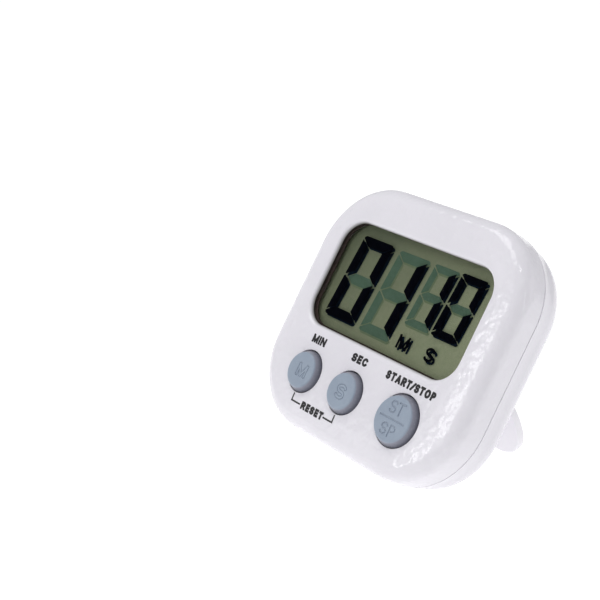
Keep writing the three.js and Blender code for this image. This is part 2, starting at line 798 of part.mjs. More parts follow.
addPiece('circuit_board', circuitBoard(), boardLaminate());
addPiece('chip_cover', chipCover(), epoxy());
addPiece('crystal', crystal(), steel());
addPiece('capacitor_1', chipPart(-15, -6), ceramic());
addPiece('capacitor_2', chipPart(-15, -9), ceramic());
addPiece('resistor', chipPart(-11, -6), epoxy());

addPiece('key_membrane', keyMembrane(), keyRubber());
KEYS.forEach((key) => {
  addPiece(`${key.name}_key`, keyCap(key), keyRubber());
  addPiece(`${key.name}_pill`, keyPill(key), carbonRubber());
});

addPiece('piezo_plate', buzzerPlate(), brass());
addPiece('piezo_ceramic', buzzerCeramic(), ceramic());
addPiece('battery_cell', batteryCell(), steel());
addPiece('battery_spring', batterySpring(), steel());
addPiece('battery_contact', batteryContact(), steel());
addPiece('battery_door', batteryDoor(), whitePlastic());
addPiece('magnet_left', magnet(-MAGNET.x), steel());
addPiece('magnet_right', magnet(MAGNET.x), steel());

const WIRE_RADIUS = 0.4;
const BOARD_END = BOARD.back + 0.35;
addPiece('battery_wire_red', wire(WIRE_RADIUS, [
  [10.4, 10.2, 16.2], [11.6, 11.2, 14.6], [13.4, 10, 12], [14, BOARD_END, 10.5],
]), redInsulation());
addPiece('battery_wire_black', wire(WIRE_RADIUS, [
  [-10.4, 10.2, 16.2], [-11.6, 11.2, 14.6], [-13.4, 10, 12], [-14, BOARD_END, 10.5],
]), blackInsulation());
addPiece('piezo_wire_red', wire(WIRE_RADIUS, [
  [5, 12.9, -8], [8, 12, -6.5], [11, 10, -5], [12, BOARD_END, -5],
]), redInsulation());
addPiece('piezo_wire_black', wire(WIRE_RADIUS, [
  [11.6, 13.1, -12], [12.6, 12, -11], [14.5, 10, -9.5], [15, BOARD_END, -9],
]), blackInsulation());

HOUSING_SCREWS.forEach((place) => addPiece(place.name, housingScrew(place), steel()));
BOARD_SCREWS.forEach((place) => addPiece(place.name, boardScrew(place), steel()));

// The stand swings out until its foot is level with the lowest line of the housing.
const lowestPoint = (object) => new THREE.Box3().setFromObject(object, true).min.z;
timer.updateMatrixWorld(true);
const floorLevel = lowestPoint(timer);
addPiece('stand', standLeg(), whitePlastic(), standGroup);
const SWING_ROUNDS = 40;
let least = THREE.MathUtils.degToRad(30);
let most = THREE.MathUtils.degToRad(80);
for (let round = 0; round < SWING_ROUNDS; round += 1) {
  standGroup.rotation.x = (least + most) / 2;
  timer.updateMatrixWorld(true);
  if (lowestPoint(standGroup) < floorLevel) {
    least = standGroup.rotation.x;
  } else {
    most = standGroup.rotation.x;
  }
}

const extent = new THREE.Box3().setFromObject(timer, true);
const middle = extent.getCenter(new THREE.Vector3());
timer.position.set(-middle.x, -middle.y, -extent.min.z);

const assembly = new THREE.Group();
assembly.add(timer);

export default assembly;
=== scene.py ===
import json
from math import atan2, cos, dist, pi, radians, sin, tan

import bmesh
import bpy
import numpy as np
from mathutils import Matrix, Vector
from mathutils.geometry import delaunay_2d_cdt


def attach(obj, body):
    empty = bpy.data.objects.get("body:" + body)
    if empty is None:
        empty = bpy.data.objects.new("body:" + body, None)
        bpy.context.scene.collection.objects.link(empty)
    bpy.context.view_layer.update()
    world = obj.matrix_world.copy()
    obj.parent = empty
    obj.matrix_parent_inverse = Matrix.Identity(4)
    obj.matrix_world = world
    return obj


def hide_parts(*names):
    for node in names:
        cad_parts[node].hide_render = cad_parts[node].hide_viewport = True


# Looks of the countdown timer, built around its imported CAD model. Shapes are made in millimetres in
# the body's own frame: X to the viewer's right, Y back from the front face, Z up along the face.
# Each finished mesh is then placed in the row frame, in metres.

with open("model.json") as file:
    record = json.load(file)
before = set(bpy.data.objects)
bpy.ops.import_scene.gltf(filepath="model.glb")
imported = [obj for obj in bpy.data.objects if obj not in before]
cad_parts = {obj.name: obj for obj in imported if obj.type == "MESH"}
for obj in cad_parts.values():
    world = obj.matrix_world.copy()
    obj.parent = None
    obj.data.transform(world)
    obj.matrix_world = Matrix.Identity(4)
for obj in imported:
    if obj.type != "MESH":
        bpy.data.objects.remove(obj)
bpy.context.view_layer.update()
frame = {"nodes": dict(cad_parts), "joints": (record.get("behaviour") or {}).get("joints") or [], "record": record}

# ---- dimensions

# They are the CAD model's, apart from a few that follow the photo more closely: the seam's width, the
# crown of the face, the display's opening, and the keys' places, holes, taper and rim.

WIDTH, HEIGHT, DEPTH = 70.0, 64.0, 18.5
CORNER = 18.8
FRONT_FILLET, BACK_FILLET, BACK_DRAFT = 4.0, 6.0, 0.8
# The flat face leans back a little before its rounded edge.
CROWN_LEAN, CROWN_WIDTH = radians(6.0), 7.0
CROWN_DROP = CROWN_WIDTH * tan(CROWN_LEAN) / 2
EDGE_RADIUS = (FRONT_FILLET - CROWN_DROP) / cos(CROWN_LEAN)
CROWN_END = -EDGE_RADIUS * (1 - sin(CROWN_LEAN))
WALL = 1.8
PARTING, SEAM_GAP, SEAM_STEP, SEAM_EDGE = 8.3, 0.24, 0.04, 0.12
# The rear shell's tongue stands inside the front shell, between two distances from the outline.
TONGUE_FRONT, TONGUE_OUTER, TONGUE_INNER, HOLLOW_FRONT = 6.9, 2.1, 3.0, 9.1
BACK_SLOPE = atan2(BACK_DRAFT - SEAM_STEP, DEPTH - BACK_FILLET - PARTING)

DISPLAY_Z = 7.5
WINDOW = {"x": -0.25, "z": 7.25, "half_width": 26.5, "half_height": 13.9, "corner": 6.3}
# The opening's rounded lip reaches furthest out below the display and to its left.
WINDOW_LIP, LIP_REACH, LIP_SHIFT = 1.2, (1.0, 1.5), (-0.2, -0.4)
LENS_POCKET = {"half_width": 28.2, "half_height": 15.6, "corner": 7.0}
LENS_FRONT, LENS_THICKNESS = 1.3, 0.4
GASKET_FRONT, GASKET_THICKNESS = 1.8, 0.3
# The dark figures lie on the front glass, their shadows and the unlit segments on the rear glass.
LIT_Y, SHADOW_Y, UNLIT_Y, SEGMENT_THICKNESS = 2.15, 2.73, 2.76, 0.02
LIT_DRIFT, SHADOW_DRIFT, UNLIT_DRIFT = -0.22, 0.14, 0.5

KEY_Z, KEY_PROUD = -18.55, 1.6
KEY_CLEARANCE, KEY_TAPER, KEY_RIM = 0.22, 0.7, 0.45
# Each cap sits a little to the lower left in its hole.
CAP_SHIFT = (-0.1, -0.06)
KEY_LIP, LETTER_DEPTH = 0.2, 0.22
FLANGE_FRONT, FLANGE_BACK, FLANGE_REACH = 2.3, 3.3, 0.6
PLUNGER_RADIUS, PLUNGER_BACK = 3.5, 4.4
KEYS = {
    "min": {"x": -17.3, "hole_radius": 5.55},
    "sec": {"x": -1.45, "hole_radius": 5.5},
    "start_stop": {"x": 17.35, "hole_radius": 6.5},
}

HOUSING_SCREWS = {
    "top_left": (-16.0, 26.1),
    "top_right": (16.0, 26.1),
    "bottom_left": (-29.0, -13.0),
    "bottom_right": (29.0, -13.0),
}
SCREW_SEAT, SCREW_HOLE, SCREW_HEAD_HOLE = 12.0, 1.25, 2.2
POST_RADIUS, POST_FRONT = 2.8, 8.9

BATTERY_Z = 16.2
WELL_RADIUS, WELL_OUTER, WELL_FRONT, WELL_FLOOR = 6.6, 9.0, 8.5, 9.3
DOOR = {"radius": 8.6, "front": 17.5, "back": 18.4, "hub_radius": 6.2, "hub_front": 15.6}
LUG = {"radius": 7.5, "back": 16.4, "half_angle": pi / 9}
BAYONET = {"radius": 7.9, "front": 15.4, "back": 16.6}
DOOR_TURN = pi / 3
MAGNET = {"x": 18.0, "z": 15.5, "radius": 5.0, "front": 16.7, "back": 18.6}
BUZZER_Z, BUZZER_SEAT_RADIUS, BUZZER_RING, BUZZER_CHAMBER = -9.0, 13.7, 14.8, 12.5
BUZZER_FRONT, BUZZER_LEDGE, RING_FRONT = 12.0, 14.0, 13.0

HINGE = Vector((0, 16.9, 4))
BARREL, PEG, PEG_REACH = 1.3, 0.9, 1.4
LEG = {"length": 29.5, "front": -0.7, "back": 1.3, "root": 16.0, "foot": 24.5, "corner": 8.5}
RECESS = {"gap": 0.4, "floor": 15.9, "groove": 15.3, "backing": 14.5}

PAST = 1.0                       # how far a cutting tool runs past the face it cuts
BITE = 0.5                       # how far joined shapes run into each other
FINE = 96                        # sides of a large circle
MM = 0.001

# ---- where the body stands

JOINTS = {joint["name"]: joint for joint in frame["joints"]}
RIGHT = Vector((1, 0, 0))
BACK = Vector(JOINTS["min_press"]["axis"]).normalized()
UP = RIGHT.cross(BACK)
TURN = Matrix((RIGHT, BACK, UP)).transposed().to_4x4()
HINGE_PLACE = Matrix.Translation(Vector(JOINTS["stand_hinge"]["pos_m"]))
BODY_PLACE = HINGE_PLACE @ TURN @ Matrix.Scale(MM, 4) @ Matrix.Translation(-HINGE)
SWING = -radians(JOINTS["stand_hinge"]["range_deg"][0])
STAND_PLACE = BODY_PLACE @ Matrix.Translation(HINGE) @ Matrix.Rotation(SWING, 4, "X")


# ---- outlines

def quarter_turn(steps):
    """Angles from 0 to 90 degrees."""
    return [step / steps * pi / 2 for step in range(steps + 1)]


def rounded_rectangle(half_width, half_height, corner, x=0.0, z=0.0, steps=20):
    """Counter-clockwise points as the viewer sees them, starting at the right-hand side."""
    points = []
    for quarter, (side_x, side_z) in enumerate(((1, 1), (-1, 1), (-1, -1), (1, -1))):
        for step in range(steps + 1):
            angle = (quarter + step / steps) * pi / 2
            points.append((x + side_x * (half_width - corner) + corner * cos(angle),
                           z + side_z * (half_height - corner) + corner * sin(angle)))
    return points


def body_outline(grow):
    """Both shells seen from the front."""
    return rounded_rectangle(WIDTH / 2 + grow, HEIGHT / 2 + grow, CORNER + grow)


def display_outline(size, x=0.0, z=DISPLAY_Z):
    return lambda grow: rounded_rectangle(
        size["half_width"] + grow, size["half_height"] + grow, size["corner"] + grow, x, z)


def window_mouth(growth):
    """The display's opening, at its straight wall or somewhere on its rounded lip."""
    share = growth / WINDOW_LIP
    return rounded_rectangle(
        WINDOW["half_width"] + LIP_REACH[0] * share, WINDOW["half_height"] + LIP_REACH[1] * share,
        WINDOW["corner"] + growth,
        WINDOW["x"] + LIP_SHIFT[0] * share, WINDOW["z"] + LIP_SHIFT[1] * share,
    )


def circle(x=0.0, z=0.0, steps=64):
    """An outline whose size is the radius itself."""
    angles = [2 * pi * step / steps for step in range(steps)]
    return lambda radius: [(x + radius * cos(a), z + radius * sin(a)) for a in angles]


def bezier(start, first, second, end, steps):
    """Points on a curve with two control points, without its last one."""
    points = []
    for step in range(steps):
        t = step / steps
        points.append(tuple(
            (1 - t) ** 3 * a + 3 * t * (1 - t) ** 2 * b + 3 * t * t * (1 - t) * c + t ** 3 * d
            for a, b, c, d in zip(start, first, second, end)
        ))
    return points


def leg_outline(top=0.0, z=0.0):
    """The stand seen from the front, its hinge at a height z. It flares from the hinge to the foot."""
    def outline(grow):
        root, foot, radius = LEG["root"] + grow, LEG["foot"] + grow, LEG["corner"] + grow
        centre_x = LEG["foot"] - LEG["corner"]
        centre_z = LEG["corner"] - LEG["length"]
        left = bezier(
            (-root, top + grow), (-root, centre_z / 3), (-foot, centre_z / 2), (-foot, centre_z), 16)
        corners = [(side * centre_x + radius * cos(first + a), centre_z + radius * sin(first + a))
                   for side, first in ((-1, pi), (1, 1.5 * pi)) for a in quarter_turn(16)]
        right = [(-x, height) for x, height in reversed(left)]
        return [(x, height + z) for x, height in left + corners + right]
    return outline


# ---- profiles along Y

# A profile is a list of (depth, growth) pairs, from the front to the back.

def round_over(depth, radius, direction, steps=6):
    """A quarter round, from an end face to the side wall."""
    return [(depth + direction * radius * (1 - cos(a)), -radius * (1 - sin(a)))
            for a in quarter_turn(steps)]


def slab(front, back, radius, steps=4):
    """A plate with both edges eased."""
    return round_over(front, radius, 1, steps) + round_over(back, radius, -1, steps)[::-1]


def grown(profile, amount):
    return [(depth, growth + amount) for depth, growth in profile]


def flared(lip):
    """A hole's rounded lip, from the face to the straight wall."""
    return [(lip * (1 - cos(a)), lip - lip * sin(a)) for a in quarter_turn(10)]


def front_mouth(lip, back):
    """A hole from the front face that opens out in a rounded lip."""
    return [(-PAST, lip), *flared(lip), (back, 0)]


def back_mouth(lip, floor, floor_round=0.0):
    """A hole from the back face: a rounded lip, straight walls and a softened floor edge."""
    flare = [(DEPTH - depth, growth) for depth, growth in reversed(flared(lip))]
    bottom = round_over(floor, floor_round, 1, 4) if floor_round else [(floor, 0)]
    return [*bottom, *flare, (DEPTH + PAST, lip)]


# ---- solids

def new_mesh(points, faces):
    mesh = bpy.data.meshes.new("shape")
    mesh.from_pydata([tuple(point) for point in points], [], faces)
    return mesh


def scene_object(name, data):
    """A new object, put in the scene."""
    thing = bpy.data.objects.new(name, data)
    bpy.context.scene.collection.objects.link(thing)
    return thing


def loft(outline_at, profile, front_cap=True):
    """A closed body through one outline at several depths, front to back."""
    rings = [[(x, depth, z) for x, z in outline_at(growth)] for depth, growth in profile]
    count = len(rings[0])
    faces = []
    for ring in range(len(rings) - 1):
        for i in range(count):
            a = ring * count + i
            b = ring * count + (i + 1) % count
            faces.append((a, a + count, b + count, b))
    if front_cap:
        faces.append(tuple(range(count)))
    last = (len(rings) - 1) * count
    faces.append(tuple(last + i for i in reversed(range(count))))
    return new_mesh([point for ring in rings for point in ring], faces)


def straight(outline_at, front, back, growth=0.0):
    """A body with the same outline all the way from its front to its back."""
    return loft(outline_at, [(front, growth), (back, growth)])


def rod(radius, front, back, x=0.0, z=0.0, steps=64):
    return straight(circle(x, z, steps), front, back, radius)


def block(x0, x1, front, back, z0, z1):
    return straight(lambda _: [(x1, z1), (x0, z1), (x0, z0), (x1, z0)], front, back)


def axle(radius, left, right, y=0.0, z=0.0, ease=0.0):
    """A round bar along X with eased ends."""
    profile = slab(left, right, ease, 3) if ease else [(left, 0), (right, 0)]
    bar = loft(circle(steps=40), grown(profile, radius))
    bar.transform(Matrix.Translation((0, y, z)) @ Matrix.Rotation(-pi / 2, 4, "Z"))
    return bar


def combined(base, operation, *tools):
    """Tools cut from a solid (DIFFERENCE) or joined to it (UNION)."""
    work = scene_object("work", base)
    helpers = [scene_object("tool", tool) for tool in tools]
    for helper in helpers:
        modifier = work.modifiers.new("solid", "BOOLEAN")
        modifier.operation = operation
        modifier.solver = "MANIFOLD"
        modifier.object = helper
    graph = bpy.context.evaluated_depsgraph_get()
    result = bpy.data.meshes.new_from_object(work.evaluated_get(graph))
    for thing in (work, *helpers):
        bpy.data.objects.remove(thing)
    return result


def joined_shells(*meshes):
    """Several closed meshes as one, for pieces that don't touch."""
    points, faces = [], []
    for mesh in meshes:
        start = len(points)
        points.extend(tuple(vertex.co) for vertex in mesh.vertices)
        faces.extend(tuple(start + i for i in face.vertices) for face in mesh.polygons)
    return new_mesh(points, faces)


def solid_at(triangle, loops):
    """Whether a triangle's middle is inside an odd number of loops, so not in a hole."""
    x, z = (sum(corner[axis] for corner in triangle) / 3 for axis in (0, 1))
    crossings = 0
    for loop in loops:
        for (ax, az), (bx, bz) in zip(loop, (*loop[1:], loop[0])):
            if (az > z) != (bz > z) and x < ax + (z - az) / (bz - az) * (bx - ax):
                crossings += 1
    return crossings % 2 == 1


def triangulated(points, edges):
    """Points in the plane and the triangles between them, within the outermost edges."""
    within_the_outermost, slack = 1, 1e-6
    flat, _, triangles, *_ = delaunay_2d_cdt(points, edges, [], within_the_outermost, slack)
    return flat, triangles


def prism(loops, front, back):
    """Flat shapes of any outline, holes included, between two depths."""
    points, edges = [], []
    for loop in loops:
        start = len(points)
        points.extend(Vector(point) for point in loop)
        edges.extend((start + i, start + (i + 1) % len(loop)) for i in range(len(loop)))
    flat, triangles = triangulated(points, edges)
    triangles = [triangle for triangle in triangles if solid_at([flat[i] for i in triangle], loops)]
    count = len(flat)
    solid = [(x, front, z) for x, z in flat] + [(x, back, z) for x, z in flat]
    faces, open_edges = [], set()
    for triangle in triangles:
        faces.append(tuple(triangle))
        faces.append(tuple(count + i for i in reversed(triangle)))
        for a, b in zip(triangle, (*triangle[1:], triangle[0])):
            if (b, a) in open_edges:
                open_edges.remove((b, a))
            else:
                open_edges.add((a, b))
    faces.extend((a, a + count, b + count, b) for a, b in sorted(open_edges))
    return new_mesh(solid, faces)


# ---- smooth shading

def from_outline(points):
    """The direction straight out from the body's middle rectangle, and the growth, of each point."""
    centre = np.array([WIDTH / 2 - CORNER, HEIGHT / 2 - CORNER])
    plan = points[:, [0, 2]]
    offset = np.sign(plan) * np.maximum(np.abs(plan) - centre, 0)
    reach = np.linalg.norm(offset, axis=1)
    return offset / np.maximum(reach, 1e-9)[:, None], reach - CORNER


def read(collection, attribute, width=1, kind=np.float32):
    """An attribute of every item in a mesh's collection, a row for each."""
    values = np.empty(len(collection) * width, kind)
    collection.foreach_get(attribute, values)
    return values if width == 1 else values.reshape(-1, width)


def set_normals(mesh, body_points, ideal, place):
    """Smooth shading that breaks at sharp edges and follows ideal normals where they are known."""
    mesh.shade_smooth()
    mesh.set_sharp_from_angle(angle=radians(32))
    if ideal is None:
        return
    vertex = read(mesh.loops, "vertex_index", kind=np.int32)
    normals = read(mesh.corner_normals, "vector", 3)
    sizes = read(mesh.polygons, "loop_total", kind=np.int32)
    flat = np.repeat(read(mesh.polygons, "normal", 3), sizes, axis=0)
    wanted, known = ideal(body_points[vertex])
    turned = wanted @ np.array(place.to_3x3().normalized()).T
    use = known & (np.einsum("ij,ij->i", turned, flat) > cos(radians(30)))
    normals[use] = turned[use]
    mesh.normals_split_custom_set(normals.tolist())


# Finished materials by name.
LOOKS = {}


def piece(name, mesh, look, *, body="root", replaces=(), place=BODY_PLACE, ideal=None):
    """Puts a finished mesh in the scene as a piece of the timer."""
    body_points = np.array([vertex.co for vertex in mesh.vertices])
    mesh.transform(place)
    mesh.update()
    set_normals(mesh, body_points, ideal, place)
    mesh.name = name
    mesh.materials.clear()
    mesh.materials.append(LOOKS[look])
    thing = scene_object(name, mesh)
    if ideal is None:
        thing.modifiers.new("flat faces stay flat", "WEIGHTED_NORMAL").keep_sharp = True
    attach(thing, body)
    if replaces:
        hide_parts(*replaces)
    return thing


# ---- the two shells

def crown_share(growth):
    """How far into the crowned border a place lies, from 0 to 1, by its growth from the outline."""
    return np.clip(1 + (growth - CROWN_END) / CROWN_WIDTH, 0, 1)


def crown_drop(growth):
    """How far behind the flat face the crowned border lies."""
    return CROWN_DROP * crown_share(growth) ** 2


def front_profile():
    """The crowned border of the face and its rounded edge."""
    crown = [CROWN_END - CROWN_WIDTH * (1 - step / 8) for step in range(8)]
    angles = [CROWN_LEAN + (pi / 2 - CROWN_LEAN) * step / 14 for step in range(15)]
    return [(crown_drop(growth), growth) for growth in crown] + [
        (FRONT_FILLET - EDGE_RADIUS * cos(a), EDGE_RADIUS * (sin(a) - 1)) for a in angles
    ]


def front_housing():
    seam = PARTING - SEAM_GAP / 2
    outside = loft(body_outline, front_profile() + round_over(seam, SEAM_EDGE, -1, 3)[::-1])
    hollow = loft(
        body_outline,
        grown(round_over(WALL, FRONT_FILLET - WALL, 1) + [(PARTING + PAST, 0)], -WALL),
    )
    window = loft(window_mouth, front_mouth(WINDOW_LIP, WALL + PAST))
    pocket = straight(display_outline(LENS_POCKET), WINDOW_LIP, WALL + PAST)
    key_holes = [
        loft(circle(key["x"], KEY_Z, FINE), grown(front_mouth(KEY_LIP, WALL + PAST), key["hole_radius"]))
        for key in KEYS.values()
    ]
    return combined(outside, "DIFFERENCE", hollow, window, pocket, *key_holes)


# How far off the ideal surface a point may lie, in millimetres.
SURFACE_SLACK = 0.02


def leaning(outward, lean, facing):
    """Directions that lean outward from the front (-1) or from the back (1)."""
    return np.stack([outward[:, 0] * np.sin(lean), facing * np.cos(lean), outward[:, 1] * np.sin(lean)], 1)


def front_ideal(points):
    """Outward normals of the front shell's face, rounded edge and side, and which points lie there."""
    outward, growth = from_outline(points)
    depth = points[:, 1]
    side, rise = growth + EDGE_RADIUS, FRONT_FILLET - depth
    on_face = growth < CROWN_END
    on_side = rise < 0
    lean = np.arctan2(side, np.maximum(rise, 1e-9))
    lean[on_face] = np.arctan(tan(CROWN_LEAN) * crown_share(growth[on_face]))
    lean[on_side] = pi / 2
    away = np.abs(np.hypot(side, rise) - EDGE_RADIUS)
    away[on_face] = np.abs(depth - crown_drop(growth))[on_face]
    away[on_side] = np.abs(growth)[on_side]
    return leaning(outward, lean, -1), away < SURFACE_SLACK


def cover_shell():
    seam = PARTING + SEAM_GAP / 2
    side = grown(round_over(seam, SEAM_EDGE, 1, 3), -SEAM_STEP)
    back = grown(round_over(DEPTH, BACK_FILLET, -1, 16), -BACK_DRAFT)[::-1]
    outside = loft(body_outline, side + back)
    tongue = straight(body_outline, TONGUE_FRONT, PARTING + PAST, -TONGUE_OUTER)
    mouth = straight(body_outline, TONGUE_FRONT - PAST, HOLLOW_FRONT + BITE, -TONGUE_INNER)
    inner = grown(round_over(DEPTH - WALL, BACK_FILLET - WALL, -1), -BACK_DRAFT - WALL)[::-1]
    hollow = loft(body_outline, [(HOLLOW_FRONT, -TONGUE_INNER), *inner])
    return combined(combined(outside, "UNION", tongue), "DIFFERENCE", mouth, hollow)


def cover_fittings():
    """Solid bosses, posts and rings on the inside of the back."""
    inside = DEPTH - WALL + BITE
    groove_half, pocket_wall = BARREL + RECESS["gap"], 1.6
    boss_radius, boss_front = MAGNET["radius"] + 1.5, MAGNET["front"] - WALL
    return [
        straight(leg_outline(groove_half, HINGE.z), RECESS["backing"], inside, pocket_wall),
        rod(WELL_OUTER, WELL_FRONT, inside, z=BATTERY_Z),
        rod(BUZZER_RING, RING_FRONT, RECESS["backing"] + BITE, z=BUZZER_Z, steps=FINE),
        *(rod(boss_radius, boss_front, inside, side * MAGNET["x"], MAGNET["z"]) for side in (-1, 1)),
        *(rod(POST_RADIUS, POST_FRONT, inside, x, z) for x, z in HOUSING_SCREWS.values()),
    ]


def stand_pocket():
    """The stand's recess, its hinge's groove and peg holes, and a scoop for a fingertip."""
    half = BARREL + RECESS["gap"]
    reach = LEG["root"] + RECESS["gap"]
    peg_end = LEG["root"] + PEG_REACH + RECESS["gap"]
    scoop_radius, scoop_depth = 9.0, 1.8
    scoop = [(DEPTH + scoop_radius - scoop_depth - scoop_radius * cos(a),
              max(scoop_radius * sin(a), 0.01)) for a in quarter_turn(12)]
    return [
        loft(leg_outline(half, HINGE.z), grown(back_mouth(0.35, RECESS["floor"], 0.3), RECESS["gap"])),
        block(-reach, reach, RECESS["groove"], DEPTH + PAST, HINGE.z - half, HINGE.z + half),
        axle(PEG + RECESS["gap"] / 2, -peg_end, peg_end, HINGE.y, HINGE.z),
        loft(circle(0.0, HINGE.z - LEG["length"] - PAST, FINE), scoop),
    ]


def speaker_holes():
    """One hole in the middle of the buzzer and six around it."""
    ring, hole = 3.6, 0.8
    places = [(0.0, 0.0)] + [
        (ring * cos(i * pi / 3), ring * sin(i * pi / 3)) for i in range(6)]
    return [rod(hole, RECESS["backing"] - PAST, RECESS["floor"] + PAST, x, BUZZER_Z + z, 32)
            for x, z in places]


def sector(radius, inner, middle, half_angle, steps=16):
    """The outline of a slice of a disc about the battery's axis."""
    angles = [middle + half_angle * (2 * step / steps - 1) for step in range(steps + 1)]
    outer_points = [(radius * cos(a), BATTERY_Z + radius * sin(a)) for a in angles]
    inner_points = [(inner * cos(a), BATTERY_Z + inner * sin(a)) for a in reversed(angles)]
    return lambda _: outer_points + inner_points


def battery_opening():
    """The battery's well, the door's seat and bayonet, and a slot for the contact under the battery."""
    seat = DOOR["radius"] + 0.3
    hub = DOOR["hub_radius"] - BITE
    slot_half, slot_depth, notch_share = 2.4, 0.8, 1.15
    notches = [
        straight(sector(BAYONET["radius"], hub, middle, LUG["half_angle"] * notch_share),
                 BAYONET["front"], DEPTH)
        for middle in (-DOOR_TURN, pi - DOOR_TURN)
    ]
    return [
        rod(WELL_RADIUS, WELL_FLOOR, DEPTH + PAST, z=BATTERY_Z, steps=FINE),
        rod(BAYONET["radius"], BAYONET["front"], BAYONET["back"], z=BATTERY_Z, steps=FINE),
        loft(circle(0.0, BATTERY_Z, FINE), grown(back_mouth(0.3, DOOR["front"] - 0.2), seat)),
        *notches,
        block(-WELL_OUTER - PAST, WELL_OUTER + PAST, WELL_FLOOR, WELL_FLOOR + slot_depth,
              BATTERY_Z - slot_half, BATTERY_Z + slot_half),
    ]


def back_cover():
    buzzer_seat = [
        rod(BUZZER_SEAT_RADIUS, BUZZER_FRONT, BUZZER_LEDGE, z=BUZZER_Z, steps=FINE),
        rod(BUZZER_CHAMBER, BUZZER_FRONT, RECESS["backing"], z=BUZZER_Z, steps=FINE),
    ]
    places = HOUSING_SCREWS.values()
    screw_holes = [rod(SCREW_HOLE, POST_FRONT - PAST, SCREW_SEAT + PAST, x, z) for x, z in places]
    head_holes = [rod(SCREW_HEAD_HOLE, SCREW_SEAT, DEPTH + PAST, x, z) for x, z in places]
    magnet_pockets = [
        loft(circle(side * MAGNET["x"], MAGNET["z"]),
             grown(back_mouth(0.25, MAGNET["front"] - 0.2), MAGNET["radius"] + 0.2))
        for side in (-1, 1)
    ]
    whole = combined(cover_shell(), "UNION", *cover_fittings())
    return combined(
        whole, "DIFFERENCE",
        *buzzer_seat, *screw_holes, *head_holes, *magnet_pockets,
        *battery_opening(), *stand_pocket(), *speaker_holes(),
    )


def back_ideal(points):
    """Outward normals of the rear shell's side, rounded edge and back, and which points lie there."""
    outward, growth = from_outline(points)
    side = np.maximum(growth + BACK_DRAFT + BACK_FILLET, 0)
    rise = points[:, 1] - (DEPTH - BACK_FILLET)
    above = np.maximum(rise, 0)
    lean = np.maximum(np.arctan2(side, above) - BACK_SLOPE * np.clip(-rise / 2, 0, 1), 0)
    away = np.abs(np.hypot(side, above) - BACK_FILLET)
    return leaning(outward, lean, 1), away < SURFACE_SLACK + BACK_DRAFT * (rise < 0)


# ---- lettering

def arc(x, z, radius_x, radius_z, start, end, steps=20):
    """Points on an ellipse between two angles in degrees."""
    angles = [radians(start + (end - start) * step / steps) for step in range(steps + 1)]
    return [(x + radius_x * cos(a), z + radius_z * sin(a)) for a in angles]


STEM = [(0, 0), (0, 1)]
BOWL = [(0, 1), *arc(0.55, 0.74, 0.45, 0.26, 90, -90), (0, 0.48)]
CURL = arc(0.5, 0.75, 0.5, 0.25, 25, 270) + arc(0.5, 0.25, 0.5, 0.25, 90, -155)[1:]
# Each letter: its width as a share of its height, and its strokes in a box of width and height 1.
LETTERS = {
    "A": (0.92, [[(0, 0), (0.5, 1)], [(0.5, 1), (1, 0)], [(0.18, 0.3), (0.82, 0.3)]]),
    "C": (0.90, [arc(0.5, 0.5, 0.5, 0.5, 42, 318)]),
    "E": (0.72, [STEM, [(0, 1), (1, 1)], [(0, 0.5), (0.92, 0.5)], [(0, 0), (1, 0)]]),
    "I": (0.2, [[(0.5, 0), (0.5, 1)]]),
    "M": (1.0, [STEM, [(0, 1), (0.5, 0), (1, 1)], [(1, 0), (1, 1)]]),
    "N": (0.86, [STEM, [(0, 1), (1, 0)], [(1, 0), (1, 1)]]),
    "O": (0.98, [arc(0.5, 0.5, 0.5, 0.5, 0, 360, 40)]),
    "P": (0.78, [STEM, BOWL]),
    "R": (0.86, [STEM, BOWL, [(0.45, 0.48), (1, 0)]]),
    "S": (0.82, [CURL]),
    "T": (0.80, [[(0, 1), (1, 1)], [(0.5, 0), (0.5, 1)]]),
    "/": (0.5, [[(-0.8, 0), (1.8, 1)]]),
}
LETTER_GAP = 0.13


def word_strokes(text, left, right, bottom, height, weight):
    """The centre lines of a word that fills the given width."""
    natural = sum(LETTERS[letter][0] for letter in text) + LETTER_GAP * (len(text) - 1)
    stretch = (right - left) / natural
    strokes, x = [], left
    for letter in text:
        share, lines = LETTERS[letter]
        inner = share * stretch - weight
        for line in lines:
            strokes.append([
                (x + weight / 2 + u * inner, bottom + weight / 2 + v * (height - weight)) for u, v in line
            ])
        x += (share + LETTER_GAP) * stretch
    return strokes


def stroke_distance(x, z, stroke, weight):
    """Distance to the edge of a square-ended stroke, negative inside it."""
    best = np.full(x.shape, 1e9)
    last = len(stroke) - 2
    closed = dist(stroke[0], stroke[-1]) < 1e-6
    for i, ((ax, az), (bx, bz)) in enumerate(zip(stroke, stroke[1:])):
        length = dist((ax, az), (bx, bz))
        ux, uz = (bx - ax) / length, (bz - az) / length
        along = (x - ax) * ux + (z - az) * uz
        across = np.abs((z - az) * ux - (x - ax) * uz)
        before = -along - (weight / 2 if i == 0 and not closed else 0)
        after = along - length - (weight / 2 if i == last and not closed else 0)
        beyond = np.maximum(np.maximum(before, after), 0)
        square = (before > after) & (i == 0) | (after >= before) & (i == last)
        rounded = np.hypot(across, beyond) - weight / 2
        blunt = np.maximum(across - weight / 2, np.maximum(before, after))
        best = np.minimum(best, np.where(square & (not closed), blunt, rounded))
    return best


def strokes_distance(x, z, strokes, weight, bottom=-1e3, top=1e3):
    """Distance to the edge of a word, which is cut off flat at its bottom and top."""
    nearest = np.minimum.reduce([stroke_distance(x, z, stroke, weight) for stroke in strokes])
    return np.maximum(nearest, np.maximum(bottom - z, z - top))


# Which cell edges an outline crosses, by which of the four corners are inside, inside on the left.
CROSSINGS = {
    1: "SW", 2: "ES", 3: "EW", 4: "NE", 5: "SWNE", 6: "NS", 7: "NW",
    8: "WN", 9: "SN", 10: "ESWN", 11: "EN", 12: "WE", 13: "SE", 14: "WS",
}


